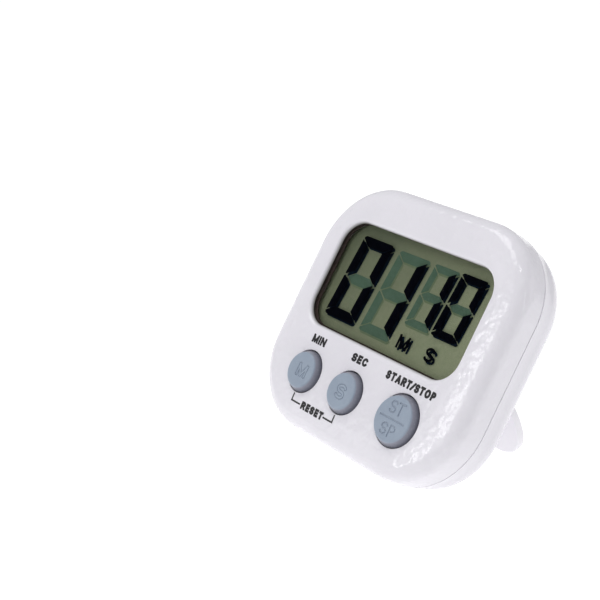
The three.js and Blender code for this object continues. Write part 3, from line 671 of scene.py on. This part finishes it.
def traced(field, left, bottom, pitch):
    """Closed outlines where a field sampled on a grid, [x, z], passes through zero."""
    inside = (field < 0).astype(int)
    code = inside[:-1, :-1] + 2 * inside[1:, :-1] + 4 * inside[1:, 1:] + 8 * inside[:-1, 1:]
    follows = {}
    for i, j in zip(*np.nonzero((code > 0) & (code < 15))):
        sides = {"S": (i, j, 0), "E": (i + 1, j, 1), "N": (i, j + 1, 0), "W": (i, j, 1)}
        crossing = CROSSINGS[int(code[i, j])]
        for start, end in zip(crossing[::2], crossing[1::2]):
            follows[sides[start]] = sides[end]

    def place(edge):
        i, j, upright = edge
        a, b = field[i, j], field[i + 1 - upright, j + upright]
        share = a / (a - b)
        return (left + (i + share * (1 - upright)) * pitch, bottom + (j + share * upright) * pitch)

    loops = []
    while follows:
        start, edge = follows.popitem()
        loop = [start]
        while edge != start:
            loop.append(edge)
            edge = follows.pop(edge)
        loops.append(thinned([place(edge) for edge in loop]))
    return loops


def thinned(points, slack=0.004):
    """An outline without the points that lie on a line between their neighbours."""
    def kept(first, last):
        a, b = np.array(points[first]), np.array(points[last % len(points)])
        between = np.array(points[first + 1:last])
        if len(between) == 0:
            return []
        along = b - a
        span = max(np.linalg.norm(along), 1e-9)
        away = np.abs((between[:, 0] - a[0]) * along[1] - (between[:, 1] - a[1]) * along[0]) / span
        far = int(np.argmax(away))
        if away[far] < slack:
            return []
        middle = first + 1 + far
        return kept(first, middle) + [middle] + kept(middle, last)

    half = len(points) // 2
    order = [0, *kept(0, half), half, *kept(half, len(points))]
    return [points[i] for i in order]


def ink_word(text, left, right, bottom, height, weight, front, back, pitch=0.03):
    """A word as a thin solid between two depths."""
    margin = 0.2
    strokes = word_strokes(text, left, right, bottom, height, weight)
    x = np.arange(left - margin, right + margin, pitch)
    z = np.arange(bottom - margin, bottom + height + margin, pitch)
    grid_x, grid_z = np.meshgrid(x, z, indexing="ij")
    field = strokes_distance(grid_x, grid_z, strokes, weight, bottom, bottom + height)
    return prism(traced(field, x[0], z[0], pitch), front, back)


# ---- keys

def engraved_disc(boundary, letters, face_y, depth, pitch=0.07):
    """A round flat top with letters pressed into it, its rim on the given points. Its net of points is
    fine near the letters and coarse elsewhere."""
    rim_gap, fine_reach, coarse_step = 0.1, 0.35, 8
    centre = np.mean(boundary, axis=0)
    radius = dist(boundary[0], centre)
    steps = np.arange(int(2 * radius / pitch))
    grid_i, grid_j = (grid.ravel() for grid in np.meshgrid(steps, steps, indexing="ij"))
    x, z = grid_i * pitch - radius, grid_j * pitch - radius
    within = np.hypot(x, z) < radius - rim_gap
    near = np.minimum.reduce([np.abs(strokes_distance(x, z, *group)) for group in letters]) < fine_reach
    coarse = (grid_i % coarse_step == 0) & (grid_j % coarse_step == 0)
    chosen = within & (near | coarse)
    points = [Vector(point) for point in boundary]
    points += [Vector((centre[0] + u, centre[1] + v)) for u, v in zip(x[chosen], z[chosen])]
    edges = [(i, (i + 1) % len(boundary)) for i in range(len(boundary))]
    flat, triangles = triangulated(points, edges)
    plan = np.array(flat)
    height = face_y + depth * letter_depth(plan[:, 0] - centre[0], plan[:, 1] - centre[1], letters)
    return new_mesh(zip(plan[:, 0], height, plan[:, 1]), [tuple(triangle) for triangle in triangles])


def key_cap(x, hole_radius, letters):
    """A tapered cap with an eased rim and pressed letters, on its flange and plunger."""
    base = hole_radius - KEY_CLEARANCE
    top = base - KEY_TAPER
    flange = hole_radius + FLANGE_REACH
    profile = [
        *grown(round_over(-KEY_PROUD, KEY_RIM, 1, 6), top), (KEY_LIP, base),
        (FLANGE_FRONT, base), (FLANGE_FRONT, flange), (FLANGE_BACK, flange),
        (FLANGE_BACK, PLUNGER_RADIUS), (PLUNGER_BACK, PLUNGER_RADIUS),
    ]
    outline = circle(x + CAP_SHIFT[0], KEY_Z + CAP_SHIFT[1], FINE)
    sides = loft(outline, profile, front_cap=False)
    return welded(sides, engraved_disc(outline(top - KEY_RIM), letters, -KEY_PROUD, LETTER_DEPTH))


def welded(*meshes):
    """Open meshes joined where their rims meet."""
    whole = joined_shells(*meshes)
    build = bmesh.new()
    build.from_mesh(whole)
    bmesh.ops.remove_doubles(build, verts=build.verts, dist=1e-4)
    build.to_mesh(whole)
    build.free()
    return whole


def pressed(text, left, right, bottom, height, weight):
    """A key's letters: their strokes, and how thick they are."""
    return word_strokes(text, left, right, bottom, height, weight), weight


THICK, THIN = 0.7, 0.42
# Each key's letters in groups. Thick ones are outlined by a groove.
KEY_LETTERS = {
    "min": [pressed("M", -1.1, 2.4, -1.65, 3.2, THICK)],
    "sec": [pressed("S", -1.4, 1.65, -1.95, 3.65, THICK)],
    "start_stop": [
        pressed("S", -2.2, 0.0, 1.1, 3.1, THIN),
        pressed("T", 0.1, 2.5, 1.1, 3.1, THIN),
        ([[(-3.9, -0.1), (3.9, -0.1)]], THIN),
        pressed("S", -2.2, 0.0, -4.1, 2.9, THIN),
        pressed("P", 0.5, 2.5, -4.1, 2.9, THIN),
    ],
}


def letter_depth(x, z, letters):
    """How deep the pressed letters are, as a share of the full depth."""
    groove_half, slope_start, slope_width = 0.08, 0.06, 0.16
    share = np.zeros(np.shape(x))
    for strokes, weight in letters:
        distance = strokes_distance(x, z, strokes, weight)
        inward = np.abs(distance) - groove_half if weight == THICK else distance
        share = np.maximum(share, np.clip((slope_start - inward) / slope_width, 0, 1))
    return share * share * (3 - 2 * share)


# ---- the display's segments

SLANT = tan(radians(4.2))


def digit_segments(left, bottom, width, height, thickness, gap=0.28):
    """The seven segments of a digit by name, as outlines. left and bottom are its lower left corner."""
    top = height / 2
    corner, bevel, inset = thickness * 0.33, thickness * 0.34, thickness * 0.08
    point, notch = thickness * 0.52, gap * 1.1
    hip = thickness + gap * 0.6
    edge = top - inset
    shoulder = top - bevel
    cap = [
        (0, shoulder), (thickness, top - thickness), (width - thickness, top - thickness),
        (width, shoulder), *arc(width - corner, edge - corner, corner, corner, 0, 90, 5),
        *arc(corner, edge - corner, corner, corner, 90, 180, 5),
    ]
    upper_left = [
        (0, shoulder - gap * 1.3), (0, gap), (thickness * 0.12, gap * 0.7),
        (thickness, point + notch), (thickness, top - thickness - notch),
    ]
    hexagon = [
        (thickness * 0.25, 0), (hip, -point), (width - hip, -point),
        (width - thickness * 0.25, 0), (width - hip, point), (hip, point),
    ]

    def sideways(shape):
        return [(width - x, z) for x, z in reversed(shape)]

    def upside_down(shape):
        return [(x, -z) for x, z in reversed(shape)]

    shapes = {
        "a": cap,
        "b": sideways(upper_left),
        "c": upside_down(sideways(upper_left)),
        "d": upside_down(cap),
        "e": upside_down(upper_left),
        "f": upper_left,
        "g": hexagon,
    }
    return {
        name: [(left + x + (z + top) * SLANT, bottom + top + z) for x, z in shape]
        for name, shape in shapes.items()
    }


BIG = {"bottom": -3.8, "width": 11.0, "height": 22.1, "thickness": 2.65}
SMALL = {"bottom": 2.1, "width": 8.3, "height": 16.2, "thickness": 1.95}
DIGITS = [
    ({"left": -22.6, **BIG}, "abcdef"),
    ({"left": -9.8, **BIG}, "bc"),
    ({"left": 3.3, **SMALL}, "bc"),
    ({"left": 13.15, **SMALL}, "abcdef"),
]
UNIT_LETTERS = [("M", 4.8, 8.5), ("S", 14.4, 17.3)]
UNIT_BOTTOM, UNIT_HEIGHT, UNIT_WEIGHT = -3.95, 3.45, 0.66


def display_segments(lit_ones, front, drift=0.0):
    """All lit segments and unit letters, or all unlit segments, moved down and right by a drift."""
    back = front + SEGMENT_THICKNESS
    loops = []
    for place, lit in DIGITS:
        for name, outline in digit_segments(**place).items():
            if (name in lit) == lit_ones:
                loops.append([(x + drift, z - drift) for x, z in outline])
    meshes = [prism([loop], front, back) for loop in loops]
    if lit_ones:
        meshes += [
            ink_word(letter, left + drift, right + drift, UNIT_BOTTOM - drift, UNIT_HEIGHT, UNIT_WEIGHT,
                     front, back)
            for letter, left, right in UNIT_LETTERS
        ]
    return joined_shells(*meshes)


# ---- materials

class Look:
    """A material under construction: its methods add nodes and link them."""

    def __init__(self, name):
        self.material = bpy.data.materials.new(name)
        self.material.use_nodes = True
        self.tree = self.material.node_tree
        self.tree.nodes.clear()
        self.output = self.node("ShaderNodeOutputMaterial")
        LOOKS[name] = self.material

    def node(self, kind, sockets=None, **settings):
        """A new node. Its sockets, by name or number, take values or other nodes' outputs."""
        made = self.tree.nodes.new(kind)
        for name, value in settings.items():
            setattr(made, name, value)
        for socket, value in (sockets or {}).items():
            if isinstance(value, bpy.types.NodeSocket):
                self.tree.links.new(value, made.inputs[socket])
            else:
                made.inputs[socket].default_value = value
        return made

    def place(self, stretch=(1, 1, 1), origin=(0, 0, 0)):
        """Coordinates along the body's own axes, in metres."""
        return self.node("ShaderNodeMapping", {
            "Vector": self.node("ShaderNodeTexCoord").outputs["Object"],
            "Location": origin, "Rotation": (atan2(-BACK.z, BACK.y), 0, 0), "Scale": stretch,
        }).outputs["Vector"]

    def along(self, direction):
        """Distance along a direction of the body's own frame, in metres from its origin."""
        origin = -(TURN.to_3x3().transposed() @ BODY_PLACE.translation)
        sockets = {0: self.place(origin=origin), 1: direction}
        return self.node("ShaderNodeVectorMath", sockets, operation="DOT_PRODUCT").outputs["Value"]

    def noise(self, scale, detail=3.0, stretch=(1, 1, 1)):
        sockets = {"Vector": self.place(stretch), "Scale": scale, "Detail": detail}
        return self.node("ShaderNodeTexNoise", sockets).outputs["Fac"]

    def ranged(self, value, low, high, from_low=0.3, from_high=0.7):
        """A value's range turned into another. It starts as the range that a noise mostly has."""
        return self.node("ShaderNodeMapRange", {
            "Value": value, "From Min": from_low, "From Max": from_high, "To Min": low, "To Max": high,
        }).outputs["Result"]

    def blend(self, share, first, second):
        return self.node("ShaderNodeMix", {0: share, 6: first, 7: second}, data_type="RGBA").outputs[2]

    def patchy(self, pattern, first, second):
        """Two colours in patches that follow a noise."""
        return self.blend(self.ranged(pattern, 0, 1), first, second)

    def bump(self, height, distance, **normal):
        sockets = {"Height": height, "Distance": distance, **normal}
        return self.node("ShaderNodeBump", sockets).outputs["Normal"]

    def surface(self, shader):
        self.tree.links.new(shader, self.output.inputs["Surface"])
        return self.material

    def principled(self, **sockets):
        """The finished material, with a principled shader. A socket's underscores stand for spaces."""
        named = {name.replace("_", " "): value for name, value in sockets.items()}
        return self.surface(self.node("ShaderNodeBsdfPrincipled", named).outputs[0])


def rgb(red, green, blue):
    """A colour from its screen values, 0 to 255, as linear light."""
    def linear(value):
        share = value / 255
        return share / 12.92 if share <= 0.04045 else ((share + 0.055) / 1.055) ** 2.4
    return (linear(red), linear(green), linear(blue), 1.0)


def grained(name, first, second, patches, grain, rough, depth, **sockets):
    """A surface whose colour follows one noise, and whose gloss and relief follow another."""
    look = Look(name)
    relief = look.noise(*grain)
    look.principled(
        Base_Color=look.patchy(look.noise(*patches), first, second),
        Roughness=look.ranged(relief, *rough),
        Normal=look.bump(relief, depth),
        **sockets,
    )


def mottled(name, first, second, rough, depth=0.00001):
    """A moulded or cast surface with a fine grain."""
    grained(name, first, second, (300.0, 4.0), (2500.0, 2.0), rough, depth)


def brushed(name, first, second, rough):
    """Metal with fine streaks one way."""
    grained(name, first, second, (250.0,), (900.0, 3.0, (1, 1, 25)), rough, 0.000004, Metallic=1.0)


def white_plastic(name, first, second, crinkle, lip_shade=None):
    """Polished ABS: a very faint colour drift, slow waves, crinkles and a fine orange peel.
    The last argument, if given, is a painted shade: a darker tone laid on deeper into the opening's lip, standing
    in for the dark display that the lip mirrors."""
    look = Look(name)
    peel = look.noise(1400.0, 2.0)
    normal = look.bump(look.noise(95.0, 2.0, (1.0, 1.0, 0.55)), 0.00012)
    normal = look.bump(look.noise(480.0, 1.0), crinkle, Normal=normal)
    tone = look.patchy(look.noise(45.0), first, second)
    if lip_shade:
        # Painted shade: the lip darkens from a quarter of its depth down to its full depth.
        shade_share = look.ranged(look.along((0.0, 1.0, 0.0)), 0, 1, WINDOW_LIP / 4 * MM, WINDOW_LIP * MM)
        tone = look.blend(shade_share, tone, lip_shade)
    look.principled(
        Base_Color=tone,
        Roughness=look.ranged(peel, 0.09, 0.12),
        Normal=look.bump(peel, 0.0000025, Normal=normal),
        Subsurface_Weight=0.12,
        Subsurface_Radius=(0.0010, 0.0009, 0.0010),
        Subsurface_Scale=1.0,
    )


def key_rubber():
    """Matte silicone with a fine tooth and a trace of dust, with painted shade that darkens its sides down towards
    the hole.
    """
    look = Look("key_rubber")
    dust = look.noise(1700.0, 5.0)
    depth = look.along((0.0, 1.0, 0.0))
    rim = KEY_RIM - KEY_PROUD
    top = look.patchy(look.noise(260.0, 4.0), rgb(143, 156, 173), rgb(150, 163, 179))
    # Painted shade: the sides darken from the rim down into the gap around the cap.
    side = look.blend(look.ranged(depth, 0, 1, rim * MM, 0.0), rgb(139, 141, 155), rgb(102, 103, 116))
    tone = look.blend(look.ranged(depth, 0, 1, (rim - 0.3) * MM, (rim + 0.1) * MM), top, side)
    look.principled(
        Base_Color=look.blend(look.ranged(dust, 0.0, 0.12, 0.55, 0.75), tone, rgb(196, 202, 210)),
        Roughness=look.ranged(dust, 0.34, 0.5),
        Normal=look.bump(look.noise(5200.0, 2.0), 0.000008),
        Sheen_Weight=0.15,
    )


def pane(name, tint, straight_on):
    """Clear sheet: what lies behind it, tinted, under a faint mirror that grows at a slant."""
    look = Look(name)
    specks = look.noise(1500.0, 2.0)
    clear = look.node("ShaderNodeBsdfTransparent", {"Color": look.patchy(specks, tint, (1, 1, 1, 1))})
    gloss = look.node("ShaderNodeBsdfGlossy", {"Roughness": look.ranged(specks, 0.02, 0.06)})
    slant = look.node("ShaderNodeLayerWeight", {"Blend": 0.5}).outputs["Facing"]
    steep = look.node("ShaderNodeMath", {0: slant, 1: 5.0}, operation="POWER").outputs[0]
    share = look.ranged(steep, straight_on, 0.6, 0.0, 1.0)
    both = look.node("ShaderNodeMixShader", {0: share, 1: clear.outputs[0], 2: gloss.outputs[0]})
    look.surface(both.outputs[0])


def display_backing():
    """The display's olive backing, unevenly clouded as real ones are, with painted light that brightens it towards
    the lower right.
    """
    look = Look("display_backing")
    cloud = look.noise(70.0)
    sparkle = look.noise(6000.0, 2.0)
    shaded_backing = look.patchy(cloud, rgb(99, 106, 85), rgb(106, 111, 88))
    lit_backing = look.patchy(cloud, rgb(152, 157, 129), rgb(159, 163, 134))
    # Painted light: the backing brightens from the upper left to the lower right.
    tone = look.blend(look.ranged(look.along((0.8, 0.0, -0.7)), 0, 1, -0.031, 0.022), shaded_backing, lit_backing)
    look.principled(
        Base_Color=look.blend(look.ranged(sparkle, 0, 0.12), tone, rgb(150, 152, 122)),
        Roughness=look.ranged(sparkle, 0.5, 0.65),
    )


def liquid_crystal(name, first, second):
    """Liquid crystal, lit or unlit, a little cloudy."""
    look = Look(name)
    cloud = look.noise(400.0)
    look.principled(
        Base_Color=look.patchy(cloud, first, second),
        Roughness=look.ranged(cloud, 0.3, 0.4),
        Specular_IOR_Level=0.0,
    )


def board_laminate():
    """Green solder mask over faint copper tracks."""
    look = Look("board_laminate")
    bricks = {"Vector": look.place(), "Scale": 260.0, "Mortar Size": 0.03}
    tracks = look.node("ShaderNodeTexBrick", bricks).outputs["Fac"]
    weave = look.noise(1200.0, 2.0)
    mask = look.patchy(weave, rgb(30, 92, 48), rgb(38, 104, 56))
    look.principled(
        Base_Color=look.blend(tracks, mask, rgb(66, 132, 74)),
        Roughness=look.ranged(weave, 0.25, 0.4),
        Normal=look.bump(tracks, 0.00002),
    )


WHITE, BRIGHT_WHITE = rgb(231, 229, 235), rgb(236, 234, 240)
white_plastic("white_plastic", WHITE, BRIGHT_WHITE, 0.000012)
white_plastic("white_face", WHITE, BRIGHT_WHITE, 0.00018)
# The opening's lip, with a painted shade that darkens it deeper in.
white_plastic("window_lip", WHITE, BRIGHT_WHITE, 0.00001, lip_shade=rgb(116, 116, 110))
# The leg's white is painted lighter than the shells' white, a painted light for a leg that sits in shade.
white_plastic("white_leg_painted_light", rgb(247, 245, 250), rgb(251, 249, 254), 0.000012)
key_rubber()
grained("printed_ink", rgb(12, 10, 14), rgb(20, 18, 22), (2200.0,), (2200.0,), (0.35, 0.55), 0.000004)
pane("clear_plastic", (0.97, 0.98, 0.97, 1), 0.02)
pane("display_glass", (0.96, 0.98, 0.95, 1), 0.003)
display_backing()
brushed("reflector_foil", rgb(180, 184, 176), rgb(192, 196, 188), (0.25, 0.4))
liquid_crystal("segments_lit", rgb(2, 3, 8), rgb(4, 5, 12))
liquid_crystal("segments_shadow", rgb(14, 26, 40), rgb(18, 32, 46))
liquid_crystal("segments_unlit", rgb(88, 110, FINE), rgb(93, 115, 101))
liquid_crystal("segments_unlit_shadow", rgb(112, 124, 101), rgb(117, 129, 105))
mottled("black_foam", rgb(40, 27, 21), rgb(54, 37, 29), (0.7, 0.9), 0.00003)
mottled("dark_plastic", rgb(38, 38, 40), rgb(48, 48, 50), (0.5, 0.7))
mottled("carbon_rubber", rgb(22, 22, 24), rgb(34, 34, 36), (0.75, 0.95))
board_laminate()
mottled("epoxy", rgb(14, 14, 16), rgb(26, 26, 28), (0.2, 0.35))
brushed("steel", rgb(176, 178, 182), rgb(192, 194, 196), (0.2, 0.38))
brushed("magnet_plating", rgb(190, 190, 192), rgb(206, 204, 200), (0.12, 0.26))
mottled("ceramic", rgb(206, 198, 176), rgb(222, 214, 196), (0.45, 0.65))
brushed("brass", rgb(196, 158, 74), rgb(210, 174, 92), (0.2, 0.35))
mottled("red_insulation", rgb(160, 34, 28), rgb(182, 44, 36), (0.35, 0.5))
mottled("black_insulation", rgb(20, 20, 22), rgb(32, 32, 34), (0.35, 0.5))


# ---- pieces

def on_the_lip(point):
    """Whether a point of the front shell lies on the rounded lip of the display's opening."""
    beside = abs(point.x - WINDOW["x"]) < WINDOW["half_width"] + LIP_REACH[0] + BITE
    level = abs(point.z - WINDOW["z"]) < WINDOW["half_height"] + LIP_REACH[1] + BITE
    return beside and level and 0.001 < point.y < WINDOW_LIP + 0.01


def make_shells():
    mesh = front_housing()
    lip = [on_the_lip(face.center) for face in mesh.polygons]
    shell = piece("front_shell", mesh, "white_face", replaces=["front_housing"],
                  ideal=front_ideal)
    shell.data.materials.append(LOOKS["window_lip"])
    shell.data.polygons.foreach_set("material_index", lip)
    piece("rear_shell", back_cover(), "white_plastic", replaces=["back_cover"],
          ideal=back_ideal)


def pocket_sheet(front, thickness):
    """A flat sheet that fills the pocket behind the display's opening, with a little play."""
    return straight(display_outline(LENS_POCKET), front, front + thickness, -0.2)


def make_display():
    piece("window_lens", pocket_sheet(LENS_FRONT, LENS_THICKNESS), "clear_plastic",
          replaces=["display_window"])
    outer = pocket_sheet(GASKET_FRONT, GASKET_THICKNESS)
    inner = straight(display_outline(WINDOW, 0.3, WINDOW["z"] + 0.2),
                     GASKET_FRONT - PAST, GASKET_FRONT + PAST, -0.15)
    piece("gasket", combined(outer, "DIFFERENCE", inner), "black_foam",
          replaces=["display_gasket"])
    figures = [
        ("segments_lit", True, LIT_Y, LIT_DRIFT),
        ("segments_shadow", True, SHADOW_Y, SHADOW_DRIFT),
        ("segments_unlit", False, UNLIT_Y, 0.0),
        ("segments_unlit_shadow", False, UNLIT_Y + 2 * SEGMENT_THICKNESS, UNLIT_DRIFT),
    ]
    for name, lit_ones, front, drift in figures:
        piece(name, display_segments(lit_ones, front, drift), name)


def make_keys():
    for name, key in KEYS.items():
        cap = key_cap(key["x"], key["hole_radius"], KEY_LETTERS[name])
        piece(f"{name}_cap", cap, "key_rubber", body=f"{name}_key", replaces=[f"{name}_key"])


def on_the_face(mesh):
    """The same thin mesh, laid on the crowned face."""
    points = np.array([vertex.co for vertex in mesh.vertices])
    points[:, 1] += crown_drop(from_outline(points)[1])
    mesh.vertices.foreach_set("co", points.ravel())
    return mesh


def make_labels():
    """Printed words and the line that joins the two keys of a reset."""
    ink_front, ink_back, weight = -0.035, 0.0, 0.6
    words = [
        ("MIN", -20.0, -14.9, -11.3, 2.15),
        ("SEC", -4.6, 1.15, -11.1, 2.1),
        ("START/STOP", 8.1, 24.8, -11.1, 2.1),
        ("RESET", -13.5, -5.0, -27.2, 2.0),
    ]
    for text, left, right, bottom, height in words:
        word = on_the_face(ink_word(text, left, right, bottom, height, weight, ink_front, ink_back))
        piece("label_" + text.lower().replace("/", "_"), word, "printed_ink")
    line_z, half, key_gap = -26.3, 0.2, 0.3
    for name, x, end in (("bracket_left", -17.4, -14.0), ("bracket_right", -1.4, -4.9)):
        side = 1 if end > x else -1
        top = KEY_Z - KEYS["min"]["hole_radius"] - key_gap
        outline = [
            (x - side * half, top), (x - side * half, line_z - half), (end, line_z - half),
            (end, line_z + half), (x + side * half, line_z + half), (x + side * half, top),
        ]
        ordered = outline if side > 0 else outline[::-1]
        piece(name, on_the_face(prism([ordered], ink_front, ink_back)), "printed_ink")


def make_stand():
    leg = loft(leg_outline(), slab(LEG["front"], LEG["back"], 0.5, 5))
    barrel = axle(BARREL, -LEG["root"], LEG["root"], ease=0.2)
    pegs = axle(PEG, -LEG["root"] - PEG_REACH, LEG["root"] + PEG_REACH, ease=0.2)
    piece("stand_leg", combined(leg, "UNION", barrel, pegs), "white_leg_painted_light", body="stand",
          replaces=["stand"], place=STAND_PLACE)


def make_door():
    disc = loft(circle(0.0, BATTERY_Z, FINE),
                grown(slab(DOOR["front"], DOOR["back"], 0.25), DOOR["radius"]))
    hub = rod(DOOR["hub_radius"], DOOR["hub_front"], DOOR["front"] + 0.3, z=BATTERY_Z, steps=FINE)
    lugs = [
        straight(sector(LUG["radius"], DOOR["hub_radius"] - PAST, middle, LUG["half_angle"]),
                 DOOR["hub_front"], LUG["back"])
        for middle in (0.0, pi)
    ]
    back, depth, ease, half_length, half_width, corner = DOOR["back"], 0.7, 0.15, 5.0, 0.9, 0.899
    slot = loft(
        lambda grow: rounded_rectangle(
            half_length + grow, half_width + grow, corner + grow, 0.0, BATTERY_Z, 8),
        [(back - depth, 0), (back - ease, 0), (back, ease), (back + PAST, ease)],
    )
    whole = combined(combined(disc, "UNION", hub, *lugs), "DIFFERENCE", slot)
    piece("door_disc", whole, "white_plastic", body="battery_door", replaces=["battery_door"])


def make_magnets():
    for name, side in (("left", -1), ("right", 1)):
        disc = loft(circle(side * MAGNET["x"], MAGNET["z"], FINE),
                    grown(slab(MAGNET["front"], MAGNET["back"], 0.25), MAGNET["radius"]))
        piece(f"magnet_disc_{name}", disc, "magnet_plating", replaces=[f"magnet_{name}"])


def make_screws():
    """Pan-head screws with a cross recess, down in the rear shell's holes."""
    tip, point, shank, head, ease = 4.2, 5.2, 0.85, 1.8, 0.5
    seat, head_height, cross_depth, cross = SCREW_SEAT + 0.1, 1.2, 0.7, (1.1, 0.22)
    back = seat + head_height
    profile = [(tip, shank * 0.4), (point, shank), (seat, shank), (seat, head), (back - ease, head)]
    profile += [(back - ease * (1 - sin(a)), head - head / 2 * (1 - cos(a)))
                for a in quarter_turn(3)[1:]]
    for name, (x, z) in HOUSING_SCREWS.items():
        body = loft(circle(x, z, 40), profile)
        arms = [block(x - u, x + u, back - cross_depth, back + PAST, z - v, z + v)
                for u, v in (cross, cross[::-1])]
        piece(f"screw_{name}", combined(body, "DIFFERENCE", *arms), "steel",
              replaces=[f"housing_screw_{name}"])


def dress_cad_nodes():
    """Materials for the CAD solids that stay. The rear glass shows the display's backing."""
    looks = {part["node"]: part["material_slot"] for part in frame["record"]["subparts"]}
    looks["lcd_rear_glass"] = "display_backing"
    for name, node in frame["nodes"].items():
        node.data.materials.clear()
        node.data.materials.append(LOOKS[looks[name]])


# ---- floor, light and camera

def square(half, material):
    """A flat square around its own middle, facing up."""
    corners = [(-half, -half, 0), (half, -half, 0), (half, half, 0), (-half, half, 0)]
    mesh = new_mesh(corners, [range(4)])
    mesh.materials.append(material)
    return mesh


def aimed(name, data, place, direction):
    """An object at a place whose own -Z axis looks in a direction."""
    thing = scene_object(name, data)
    thing.location = place
    thing.rotation_mode = "QUATERNION"
    thing.rotation_quaternion = direction.to_track_quat("-Z", "Y")
    return thing


def make_floor():
    look = Look("floor")
    material = look.principled(
        Base_Color=look.patchy(look.noise(3.0, 2.0), rgb(188, 188, 189), rgb(192, 192, 192)),
        Roughness=0.8,
        Specular_IOR_Level=0.1,
        Emission_Color=(1.0, 1.0, 1.0, 1.0),
        Emission_Strength=0.72,
    )
    floor = scene_object("floor", square(4.0, material))


# Where the lamps and the card look.
MIDDLE = Vector((0.0, 0.0, 0.03))


def softbox(name, place, width, height, power):
    """A lamp that shines at the timer."""
    light = bpy.data.lights.new(name, "AREA")
    light.shape = "RECTANGLE"
    light.size, light.size_y = width, height
    light.energy = power
    aimed(name, light, place, MIDDLE - Vector(place))


def around(azimuth, elevation, distance):
    """A place near the timer: degrees from straight ahead round to the viewer's right, degrees up, and
    metres from the middle."""
    turn, lift = radians(azimuth), radians(elevation)
    return Vector((
        distance * sin(turn) * cos(lift),
        -distance * cos(turn) * cos(lift),
        distance * sin(lift),
    )) + MIDDLE


def make_dark_card():
    """A black card where the window would otherwise mirror the light."""
    look = Look("dark_card")
    material = look.principled(
        Base_Color=look.patchy(look.noise(3.0), rgb(14, 14, 15), rgb(20, 20, 21)),
        Roughness=0.9,
    )
    place = around(-51.5, 25.0, 0.6)
    card = aimed("dark_card", square(0.11, material), place, MIDDLE - place)


def make_light():
    world = bpy.data.worlds.new("studio")
    bpy.context.scene.world = world
    world.use_nodes = True
    background = world.node_tree.nodes["Background"]
    background.inputs["Color"].default_value = (0.98, 0.98, 1.0, 1.0)
    background.inputs["Strength"].default_value = 0.45
    softbox("overhead", (0.1, 0.1, 1.0), 1.2, 1.2, 1.8)
    softbox("strip", around(36.0, 74.0, 1.0), 0.16, 0.06, 0.22)
    softbox("left", around(-62.0, 64.0, 1.0), 0.6, 0.5, 2.6)
    softbox("front", around(-30.0, 20.0, 0.7), 0.065, 0.34, 0.28)
    softbox("front_fill", around(-30.0, 20.0, 0.8), 0.5, 0.5, 0.66)
    softbox("right", around(98.0, 26.0, 0.8), 0.05, 0.36, 0.22)
    softbox("behind", around(140.0, 20.0, 0.9), 0.5, 0.4, 0.4)


def make_camera():
    """The place, aim and lens that were fitted to the photo."""
    azimuth, elevation = radians(53.57), radians(20.54)
    forward = Vector((
        -sin(azimuth) * cos(elevation),
        cos(azimuth) * cos(elevation),
        -sin(elevation),
    ))
    camera = bpy.data.cameras.new("camera")
    camera.lens = 78.2
    camera.sensor_width = 36.0
    camera.clip_start = 0.01
    place = (0.21833, -0.19271, 0.14707)
    bpy.context.scene.camera = aimed("camera", camera, place, forward)
    bpy.context.scene.view_settings.view_transform = "Standard"


make_camera()
make_light()
make_floor()
make_dark_card()
dress_cad_nodes()
make_shells()
make_display()
make_keys()
make_labels()
make_stand()
make_door()
make_magnets()
make_screws()
